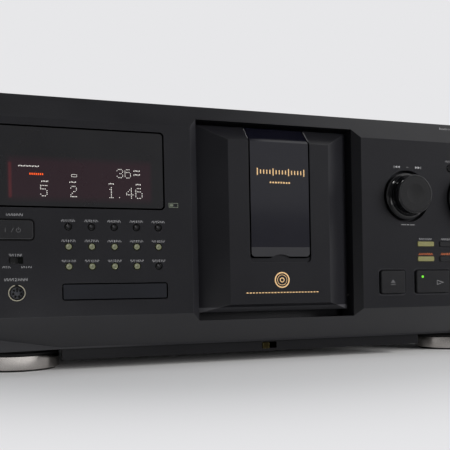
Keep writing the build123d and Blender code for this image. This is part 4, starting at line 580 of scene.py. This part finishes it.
# ---------------------------------------------------------------- finishes of the solids
# the edge colours below are painted highlights along the edges
PANEL = finish("panel_plastic", srgb(24, 24, 27), 0.37, sheen=0.05, grain=3000.0, stretch=3.0, dust=0.3,
               edge_highlight_colour=srgb(46, 46, 48),
               # painted shade: a black line in the standby key's gap; painted light: paler lines on the
               # chamfers round the open and play keys
               shade_and_highlight_lines=[(((-207.0, -172.5), (89.5, 104.0)), 3.0, 1.3, BLACK),
                     (((80.3, 104.8), (48.9, 69.9)), 3.2, 1.3, srgb(46, 46, 49)),
                     (((111.7, 145.1), (48.9, 69.9)), 3.2, 1.3, srgb(46, 46, 49))])
DOOR = finish("door_plastic", srgb(25, 25, 28), 0.35, sheen=0.05, grain=3400.0, dust=0.4,
              edge_highlight_colour=srgb(50, 50, 52),
              # painted light: a paler band along the door's bottom bevel
              shade_and_highlight_lines=[(((-90.0, 90.0), (39.4, 260.0)), 6.0, 3.4, srgb(62, 62, 65))])
KEYS = finish("key_plastic", srgb(28, 28, 30), 0.4, grain=4200.0, depth=0.008, shade=0.12,
              edge_highlight_colour=srgb(48, 48, 50), dust=0.2)
DARK_CAPS = finish("dark_cap_plastic", srgb(16, 16, 17), 0.2, grain=5000.0, depth=0.004, shade=0.1,
                   sheen=0.05, edge_highlight_colour=srgb(20, 20, 21))
PAINT = finish("case_paint", srgb(24, 24, 26), 0.5, grain=1800.0, depth=0.06, shade=0.3, sheen=0.02,
               edge_highlight_colour=srgb(50, 50, 52), dust=0.25)
STEEL = finish("bright_steel", srgb(150, 150, 150), 0.32, shade=0.12, brushed=30.0, Metallic=1.0,
               edge_highlight_colour=srgb(205, 205, 205))
RING = finish("ring_chrome", srgb(196, 191, 187), 0.2, grain=900.0, depth=0.004, shade=0.05, sheen=0.06,
              brushed=90.0, Metallic=1.0, edge_highlight_colour=srgb(235, 230, 222))
# partly painted shade: darker and less glossy than the case paint, being the chassis' own black finish and
# also the shade on the pan set back under the panel
PAN = finish("pan_paint", srgb(15, 15, 17), 0.5, grain=1800.0, depth=0.06, shade=0.3, sheen=0.03,
             edge_highlight_colour=srgb(36, 36, 38), dust=0.25, **{"Specular IOR Level": 0.3})
RUBBER = finish("foot_rubber", srgb(20, 20, 20), 0.7, grain=1500.0, depth=0.05, dust=0.4)
BRASS = finish("clip_brass", srgb(70, 62, 38), 0.35, shade=0.15, brushed=20.0, Metallic=1.0,
               edge_highlight_colour=srgb(190, 178, 120))
TABLE = finish("table_plastic", srgb(38, 38, 40), 0.5, grain=1800.0, depth=0.03)
COMBS = finish("comb_plastic", srgb(46, 46, 48), 0.45, grain=2200.0, depth=0.02)
GEARS = finish("gear_plastic", srgb(214, 210, 198), 0.4, grain=1500.0, depth=0.01, shade=0.05)
BOARD = finish("board_green", srgb(34, 88, 48), 0.4, grain=600.0, stretch=4.0, depth=0.03, shade=0.35,
               edge_highlight_colour=srgb(150, 140, 84))
MASKED_BOARD = finish("masked_board", srgb(12, 18, 14), 0.5, grain=600.0, stretch=4.0, depth=0.03, shade=0.35,
                      edge_highlight_colour=srgb(80, 74, 50))
SOCKETS = socket_material("socket_black")
DECK = finish("deck_metal", srgb(150, 150, 152), 0.42, grain=900.0, depth=0.05, shade=0.1, Metallic=1.0,
              edge_highlight_colour=srgb(205, 205, 206))
MOTORS = finish("motor_steel", srgb(158, 158, 160), 0.3, brushed=40.0, shade=0.1, Metallic=1.0)
SLED = finish("sled_plastic", srgb(28, 28, 28), 0.45, grain=2600.0)
CORE = finish("core_steel", srgb(64, 60, 56), 0.5, grain=500.0, stretch=40.0, depth=0.08, shade=0.35,
              Metallic=0.6)
DISPLAY = finish("display_glass", srgb(14, 14, 15), 0.15, grain=700.0, depth=0.005, sheen=0.05)
WINDOW = window_material("display_acrylic", srgb(27, 27, 29), 0.3, 0.06, ((-206, -86.4), (111.7, 164.9)),
                         3.0, 0.8, lit=True)
DOOR_WINDOW = window_material("door_acrylic", srgb(13, 13, 21), 0.12, 0.08, ((-23.8, 23.8), (78.4, 260)),
                              3.5, 0.9, foot=86.2, mirror=0.8)
REMOTE = window_material("remote_acrylic", srgb(24, 25, 29), 0.12, 0.12, ((-155.9, -85.4), (50.3, 61.3)),
                         1.2, 0.6)

# colours of caps: core, body, edge and gleam; the gleam is a painted highlight, the edge painted shade, and
# the dark caps' light core a painted highlight
LIT = (srgb(82, 85, 68), srgb(99, 101, 82), srgb(60, 62, 30), srgb(138, 140, 125))
LIT_WARM = (srgb(108, 106, 73), srgb(106, 104, 68), srgb(80, 78, 38), srgb(114, 112, 78))
DARK = (srgb(42, 42, 44), srgb(9, 9, 10), srgb(2, 2, 2), srgb(76, 76, 78))

# spacing, first place and radius of the shading
ROUND_PLACES = ((GRID_PITCH_X, GRID_PITCH_Z), (GRID_X, GRID_Z), 2.05)
BAR_PLACES = ((BAR_PITCH_X, BAR_PITCH_Z), (BAR_X, BAR_Z), 9.0)
LIT_ROUND = cap_material("lit_round_caps", *ROUND_PLACES, LIT, 0.03, 0.2)
LIT_BARS = cap_material("lit_bar_caps", *BAR_PLACES, LIT_WARM, 0.05, 0.3)
DARK_ROUND = cap_material("dark_round_caps", *ROUND_PLACES, DARK, 0.0, 0.12)
SKIP = knob_material("skip_knob_plastic", SKIP_X, SKIP_Z, 15.0)
JOG = knob_material("jog_dial_plastic", JOG_X, JOG_Z, 22.0)

FINISHES = {
    PANEL: ["front_panel"], DOOR: ["front_door"], WINDOW: ["display_window"], REMOTE: ["remote_window"],
    DOOR_WINDOW: ["door_window"], DISPLAY: ["display_module"], SKIP: ["skip_knob"], JOG: ["jog_dial"],
    KEYS: ["standby_button", "open_close_button", "play_button", "pause_button", "stop_button"] +
          [f"bar_button_{row}_{column}" for row in (1, 2) for column in (2, 3)],
    LIT_BARS: ["bar_button_1_1", "bar_button_2_1"], LIT_ROUND: [], DARK_ROUND: [],
    DARK_CAPS: ["menu_button", "timer_slider"], PAINT: ["top_cover", "rear_panel"], PAN: ["chassis"],
    RUBBER: ["feet"], RING: ["foot_rings"], BRASS: ["pan_clip"], TABLE: ["carousel_table"],
    COMBS: ["slot_combs"], GEARS: ["idler_gear", "motor_pinion", "skip_push_sleeve"],
    BOARD: ["main_board"], MASKED_BOARD: ["control_boards"],
    SOCKETS: ["keyboard_socket", "rear_sockets"], DECK: ["player_deck"], MOTORS: ["drive_motors"],
    SLED: ["pickup_sled", "loading_lever", "door_drive_gear", "door_gear_shaft"],
    CORE: ["transformer"], STEEL: ["screws", "disc_spindle"],
}
for row in (1, 2, 3):
    for column in (1, 2, 3, 4, 5):
        lit = row == 2 or (row == 3 and column < 5)
        FINISHES[LIT_ROUND if lit else DARK_ROUND].append(f"round_button_{row}_{column}")
for material, names in FINISHES.items():
    for name in names:
        solid = NODES[name]
        solid.data.materials.clear()
        solid.data.materials.append(material)


# ---------------------------------------------------------------- printed marks
def add_plate(bm, outline, depth):
    """Closed thin plate from an outline of (x, z) points, standing on the surface at a depth."""
    front = [bm.verts.new(place(x, depth - INK, z)) for x, z in outline]
    back = [bm.verts.new(place(x, depth, z)) for x, z in outline]
    bm.faces.new(front)
    bm.faces.new(back[::-1])
    for i in range(len(outline)):
        bm.faces.new((front[i - 1], back[i - 1], back[i], front[i]))


def add_stroke(bm, points, width, depth, closed=False):
    """Line of a given width through (x, z) points, with mitred corners."""
    count = len(points)
    sides = ([], [])
    for i, (x, z) in enumerate(points):
        ahead = Vector(points[(i + 1) % count]) if closed or i < count - 1 else None
        behind = Vector(points[i - 1]) if closed or i > 0 else None
        here = Vector((x, z))
        arms = [(ahead - here).normalized()] if ahead is not None else []
        if behind is not None:
            arms.append((here - behind).normalized())
        normals = [Vector((-arm.y, arm.x)) for arm in arms]
        mean = sum(normals, Vector((0, 0))).normalized()
        reach = width / 2 / max(0.4, mean.dot(normals[0]))
        sides[0].append(here + mean * reach)
        sides[1].append(here - mean * reach)
    rings = [[bm.verts.new(place(p.x, level, p.y)) for p in side]
             for level in (depth - INK, depth) for side in sides]
    for i in range(count if closed else count - 1):
        j = (i + 1) % count
        for a, b in ((0, 1), (1, 3), (3, 2), (2, 0)):
            bm.faces.new((rings[a][i], rings[a][j], rings[b][j], rings[b][i]))
    if not closed:
        for i in (0, count - 1):
            bm.faces.new((rings[0][i], rings[1][i], rings[3][i], rings[2][i]))


def add_bar(bm, start, end, width):
    """Square bar between two points in metres, both ends closed."""
    along = (end - start).normalized()
    aside = along.cross(Vector((1, 0, 0))).normalized()
    corners = [aside * i * width / 2 * MM + Vector((j * width / 2 * MM, 0, 0))
               for i, j in ((1, 1), (1, -1), (-1, -1), (-1, 1))]
    near, far = ([bm.verts.new(point + corner) for corner in corners] for point in (start, end))
    bm.faces.new(near)
    bm.faces.new(far[::-1])
    for i in range(4):
        bm.faces.new((near[i - 1], far[i - 1], far[i], near[i]))


def arc(x, z, radius, start, end, steps=20):
    """Points along an arc, angles in degrees from +X towards +Z."""
    angles = [math.radians(start + (end - start) * i / steps) for i in range(steps + 1)]
    return [(x + radius * math.cos(a), z + radius * math.sin(a)) for a in angles]


def add_number(bm, text, x, z, height, depth):
    """Plain number centred at (x, z)."""
    digit_share = 0.7                        # height of a digit as a share of the font's size
    curve = bpy.data.curves.new("number", "FONT")
    curve.body = text
    curve.size = height * MM / digit_share
    curve.align_x = "CENTER"
    curve.extrude = INK / 2 * MM
    curve.resolution_u = 2
    holder = link("number", curve)
    bpy.context.view_layer.update()
    mesh = bpy.data.meshes.new_from_object(holder.evaluated_get(bpy.context.evaluated_depsgraph_get()))
    stand = Matrix(((1, 0, 0), (0, 0, -1), (0, 1, 0))).to_4x4()
    mesh.transform(Matrix.Translation(place(x, depth - INK / 2, z - height / 2)) @ stand)
    bm.from_mesh(mesh)
    bpy.data.objects.remove(holder)
    bpy.data.curves.remove(curve)
    bpy.data.meshes.remove(mesh)


def finished_piece(name, bm, body, material):
    """Object of a body from a finished bmesh."""
    bmesh.ops.remove_doubles(bm, verts=bm.verts, dist=1e-7)
    piece = link_mesh(name, bm)
    piece.data.materials.append(material)
    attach(piece, body)


GREY_PRINT = print_material("grey_print", srgb(142, 142, 144))
# also the painted glints on the door window's edges
PALE_PRINT_AND_GLINT = print_material("pale_print_and_glint", srgb(138, 138, 140))
ORANGE_PRINT = print_material("orange_print", srgb(208, 112, 64))
GOLD_PRINT = finish("gold_print", srgb(222, 184, 134), 0.4, grain=4000.0, shade=0.12, depth=0.004, edge=0.0,
                    Metallic=0.2)
DIM_PRINT = print_material("dim_print", srgb(78, 78, 80))
BADGE_PRINT = print_material("badge_print", srgb(90, 96, 84))


def index_label(bm, text, x, z, width, height=1.6):
    """Number between two short scales of fine ticks of uneven height."""
    add_number(bm, text, x, z, height, 0)
    near, pitch = height * 0.4 * len(text) + 0.6, 0.62
    ticks = int((width / 2 - near) / pitch) + 1
    for side in (-1, 1):
        for i in range(ticks):
            across = x + side * (near + pitch * i)
            low, high = ((0.5, 0.5), (0.15, 0.5), (0.5, 0.1))[i % 3]
            add_stroke(bm, [(across, z - height * low), (across, z + height * high)], 0.2, 0)


def panel_legends():
    """Grey and orange index marks over the buttons, knobs and sockets."""
    bm = bmesh.new()
    top_label_z, label_pitch = 103.2, 13.4
    for row in range(3):
        for column in range(5):
            x, z = GRID_X + GRID_PITCH_X * column, top_label_z - label_pitch * row
            index_label(bm, str(5 * row + column + 1), x, z, 9.2)
    for column, text in enumerate(("1", "2", "3")):
        index_label(bm, text, BAR_X + BAR_PITCH_X * column, 93.0, 11.5)

    # standby key, both ends of the slide switch and its name, socket
    for label in (("0", -184.95, 106.5, 11.0, 1.7), ("1", -184.95, 80.3, 8.0, 1.7),
                  ("0", -190.6, 72.5, 5.2, 1.4), ("1", -178.2, 72.5, 7.0, 1.4),
                  ("2", -184.95, 64.4, 14.0, 1.9)):
        index_label(bm, *label)

    # skip knob: arrows and a dash above, a rule with a dot in its middle below
    above, below = 149.3, 104.2
    for side, x in ((-1, 98.6), (1, 116.6)):
        for shift in (0, 2.3):
            tip = x + side * (shift - 0.1)
            add_plate(bm, [(tip, above), (tip - side * 2.0, above + 1.0), (tip - side * 2.0, above - 1.0)], 0)
        add_stroke(bm, [(x + side * 3.0, above - 1.1), (x + side * 3.0, above + 1.1)], 0.35, 0)
    add_stroke(bm, [(SKIP_X, above), (108.4, above)], 0.3, 0)
    add_stroke(bm, [(101.0, below), (105.6, below)], 0.35, 0)
    add_stroke(bm, [(108.8, below), (113.4, below)], 0.35, 0)
    add_plate(bm, arc(107.2, below, 0.5, 0, 330, 11), 0)

    # menu button, long row of ticks at the top right, scale over the jog dial
    index_label(bm, "7", 146.9, 155.4, 9.0)
    for i in range(61):
        x, high = 137.6 + i, 182.2 if i % 5 == 0 else 181.7
        add_stroke(bm, [(x, 180.5), (x, high)], 0.22, 0)
    for i in range(7):
        angle = math.radians(90 + (i - 3) * 12)
        inner, outer = 28.4, 30.0 if i % 3 else 30.8
        ends = [(JOG_X + r * math.cos(angle), JOG_Z + r * math.sin(angle)) for r in (inner, outer)]
        add_stroke(bm, ends, 0.35, 0)
    finished_piece("panel_legends", bm, "case", GREY_PRINT)

    bm = bmesh.new()
    for column, text in enumerate(("4", "5", "6")):
        index_label(bm, text, BAR_X + BAR_PITCH_X * column, 81.2, 12.5, 1.7)
    finished_piece("orange_legends", bm, "case", ORANGE_PRINT)

    bm = bmesh.new()
    frame_line = [(-83.2, 113.6), (-76.9, 113.6), (-76.9, 116.4), (-83.2, 116.4)]
    add_stroke(bm, frame_line, 0.35, 0, closed=True)
    add_plate(bm, [(-82.6, 114.2), (-80.2, 114.2), (-80.2, 115.8), (-82.6, 115.8)], 0)
    finished_piece("badge_frame", bm, "case", BADGE_PRINT)


def add_frame(bm, x, half, width):
    """Outlined box of a key symbol, as high as the play symbol."""
    low, high = 56.9, 60.3
    corners = [(x - half, low), (x + half, low), (x + half, high), (x - half, high)]
    add_stroke(bm, corners, width, KEY_FACE, closed=True)


def key_symbols():
    """Generic symbols on the keys; each rides on its key."""
    bm = bmesh.new()
    add_stroke(bm, [(-190.75, 95.1), (-190.75, 97.9)], 0.32, STANDBY_FACE)
    add_stroke(bm, [(-187.2, 95.1), (-185.6, 97.9)], 0.3, STANDBY_FACE)
    add_stroke(bm, arc(-182.7, 96.4, 1.3, 120, 420), 0.32, STANDBY_FACE)
    add_stroke(bm, [(-182.7, 96.5), (-182.7, 98.4)], 0.32, STANDBY_FACE)
    finished_piece("power_symbol", bm, "standby_key", DIM_PRINT)

    bm = bmesh.new()
    add_plate(bm, [(89.9, 58.7), (94.2, 58.7), (92.05, 61.5)], KEY_FACE)
    add_stroke(bm, [(89.9, 57.4), (94.2, 57.4)], 0.6, KEY_FACE)
    finished_piece("eject_symbol", bm, "open_close_key", DIM_PRINT)

    bm = bmesh.new()
    add_stroke(bm, [(131.9, 56.9), (137.7, 58.6), (131.9, 60.3)], 0.28, KEY_FACE, closed=True)
    finished_piece("play_symbol", bm, "play_key", PALE_PRINT_AND_GLINT)

    pause_x, stop_x = 159.9, 188.9
    bm = bmesh.new()
    for side in (-1, 1):
        add_frame(bm, pause_x + side * 1.1, 0.5, 0.3)
    finished_piece("pause_symbol", bm, "pause_key", PALE_PRINT_AND_GLINT)
    bm = bmesh.new()
    add_frame(bm, stop_x, 1.7, 0.34)
    finished_piece("stop_symbol", bm, "stop_key", PALE_PRINT_AND_GLINT)


def play_lamp():
    """Small domed lamp on the play key."""
    bm = bmesh.new()
    rings, steps, sides = [], 5, 24
    for level in range(steps):
        turn = math.radians(90 * level / steps)
        radius, rise = 1.0 * math.cos(turn), 0.45 * math.sin(turn)
        circle = arc(118.7, 63.3, radius, 0, 345, sides - 1)
        rings.append([bm.verts.new(place(x, KEY_FACE - rise, z)) for x, z in circle])
    for low, high in zip(rings, rings[1:]):
        for i in range(sides):
            bm.faces.new((low[i - 1], low[i], high[i], high[i - 1]))
    bm.faces.new(rings[0])
    bm.faces.new(rings[-1])
    lamp = glow_material("green_lamp", srgb(130, 255, 60), 0.95)
    finished_piece("play_lamp", bm, "play_key", lamp)


# ---------------------------------------------------------------- display
# rows of dots of the digits in use, from the top
DOTS = {"1": "00100 01100 00100 00100 00100 00100 01110", "2": "01110 10001 00001 00110 01000 10000 11111",
        "3": "01110 10001 00001 00110 00001 10001 01110", "4": "00010 00110 01010 10010 11111 00010 00010",
        "5": "11111 10000 11110 00001 00001 10001 01110", "6": "01110 10000 11110 10001 10001 10001 01110"}


def cells_tree():
    """Geometry tree that puts a small flat cell on every point, and its inputs' identifiers."""
    tree = bpy.data.node_groups.new("cells_on_points", "GeometryNodeTree")
    kinds = {"Geometry": "Geometry", "Cell Width": "Float", "Cell Depth": "Float", "Cell Height": "Float",
             "Finish": "Material"}
    sockets = {label: tree.interface.new_socket(name=label, in_out="INPUT", socket_type="NodeSocket" + kind)
               for label, kind in kinds.items()}
    tree.interface.new_socket(name="Geometry", in_out="OUTPUT", socket_type="NodeSocketGeometry")
    w = Wiring(tree)
    given, out = w.node("NodeGroupInput"), w.node("NodeGroupOutput")
    size = w.node("ShaderNodeCombineXYZ", {"X": given.outputs["Cell Width"], "Y": given.outputs["Cell Depth"],
                                           "Z": given.outputs["Cell Height"]})
    cell = w.node("GeometryNodeMeshCube", {"Size": size.outputs[0]})
    spread = w.node("GeometryNodeInstanceOnPoints", {"Points": given.outputs["Geometry"],
                                                     "Instance": cell.outputs["Mesh"]})
    real = w.node("GeometryNodeRealizeInstances", {"Geometry": spread.outputs["Instances"]})
    finish_node = w.node("GeometryNodeSetMaterial", {"Geometry": real.outputs["Geometry"],
                                                     "Material": given.outputs["Finish"]})
    w.feed(out.inputs["Geometry"], finish_node.outputs["Geometry"])
    return tree, {label: socket.identifier for label, socket in sockets.items()}


CELLS, CELL_INPUTS = cells_tree()


def cells_piece(name, points, size, body, material):
    """Plain mesh of equal flat cells at (x, depth, z) points."""
    mesh = bpy.data.meshes.new(name + "_points")
    mesh.from_pydata([place(*point) for point in points], [], [])
    holder = link(name + "_points", mesh)
    modifier = holder.modifiers.new("cells", "NODES")
    modifier.node_group = CELLS
    for label, value in zip(("Cell Width", "Cell Depth", "Cell Height"), size):
        modifier[CELL_INPUTS[label]] = value * MM
    modifier[CELL_INPUTS["Finish"]] = material
    bpy.context.view_layer.update()
    made = bpy.data.meshes.new_from_object(holder.evaluated_get(bpy.context.evaluated_depsgraph_get()))
    bpy.data.objects.remove(holder)
    piece = link(name, made)
    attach(piece, body)


def dotted(text, left, low, width, height, depth):
    """Points of a dot-matrix number; width and height are those of one digit."""
    points = []
    for place_in_text, sign in enumerate(text):
        for row, line in enumerate(DOTS[sign].split()):
            for column, dot in enumerate(line):
                if dot == "1":
                    x = left + place_in_text * width * 1.45 + column * width / 4
                    points.append((x, depth, low + (6 - row) * height / 6))
    return points


def display_marks():
    """Plain numbers and marks that shine on the display window."""
    level, thick = -0.03, 0.06               # depth of the cells' middles, and their thickness
    white = glow_material("display_white", (1.0, 0.97, 0.92, 1), 1.3)
    amber = glow_material("display_amber", srgb(255, 90, 20), 1.3)
    large = dotted("5", -168.4, 119.2, 4.0, 6.8, level) + dotted("2", -149.2, 119.2, 3.6, 6.8, level)
    large += dotted("1", -124.7, 119.2, 4.2, 6.7, level) + dotted("46", -112.3, 119.2, 4.3, 6.7, level)
    large.append((-117.2, level, 119.4))
    cells_piece("display_digits", large, (0.4, thick, 0.5), "case", white)
    small = dotted("36", -118.5, 132.9, 3.7, 5.6, level)
    cells_piece("display_small_digits", small, (0.36, thick, 0.46), "case", white)

    # rows of small marks: left end, right end, height
    marks, pitch = [], 0.95
    for left, right, z in ((-182.3, -168.4, 138.4), (-168.1, -163.2, 128.8), (-150.3, -144.8, 128.8),
                           (-124.5, -120.6, 128.6), (-106.2, -101.9, 128.6), (-107.6, -102.1, 137.8),
                           (-107.6, -102.1, 135.2)):
        steps = int((right - left) / pitch)
        marks += [(left + 0.5 + i * pitch, level, z + 0.12 * (i * 5 % 3 - 1)) for i in range(steps)]
    cells_piece("display_markers", marks, (0.36, thick, 0.7), "case", white)
    amber_marks = [(-174.8 + i * 1.3, level, 133.4) for i in range(7)]
    cells_piece("display_amber_marks", amber_marks, (0.75, thick, 1.2), "case", amber)
    bm = bmesh.new()
    box = [(-148.6, 132.4), (-145.2, 132.4), (-145.2, 133.9), (-148.6, 133.9)]
    add_stroke(bm, box, 0.14, 0, closed=True)
    finished_piece("display_box_mark", bm, "case", white)


# ---------------------------------------------------------------- ornament on the door, and painted glints on its window
def door_ornament():
    """Gold scale, dots, rings and a dashed rule, and painted highlights: pale bars for glints along the
    window's edges where its channel bends.
    """
    face = 0.3
    scale_z, dots_z, rings_z, rule_z = 141.2, 133.6, 62.1, 52.9
    bm = bmesh.new()
    for i in range(16):
        x, rise = -17.4 + i * 2.44, 2.6 if i % 5 == 0 else 1.5
        add_stroke(bm, [(x, scale_z - rise), (x, scale_z + rise)], 0.8, face)
    for i in range(8):
        add_plate(bm, arc(-7.3 + i * 2.1, dots_z, 0.72, 0, 330, 11), face)
    finished_piece("door_scale", bm, "door", GOLD_PRINT)

    bm = bmesh.new()
    for radius, width in ((5.4, 0.9), (3.7, 0.35), (1.5, 0.7)):
        add_stroke(bm, arc(0.4, rings_z, radius, 0, 352.5, 47), width, face, closed=True)
    for i in range(24):
        x = -27.4 + i * 2.4
        add_stroke(bm, [(x, rule_z), (x + 1.5, rule_z)], 0.75, face)
    finished_piece("door_disc_mark", bm, "door", GOLD_PRINT)

    # painted highlight: pale bars standing in for glints along the window's edges on the top bevel
    bm = bmesh.new()
    for side in (-1, 1):
        add_bar(bm, place(side * 23.9, 2.2, 165.4), place(side * 23.9, 11.4, 174.6), 0.22)
    finished_piece("window_edge_glints", bm, "door", PALE_PRINT_AND_GLINT)


make_studio()
panel_legends()
key_symbols()
play_lamp()
display_marks()
door_ornament()

bpy.context.scene.view_settings.view_transform = "Standard"
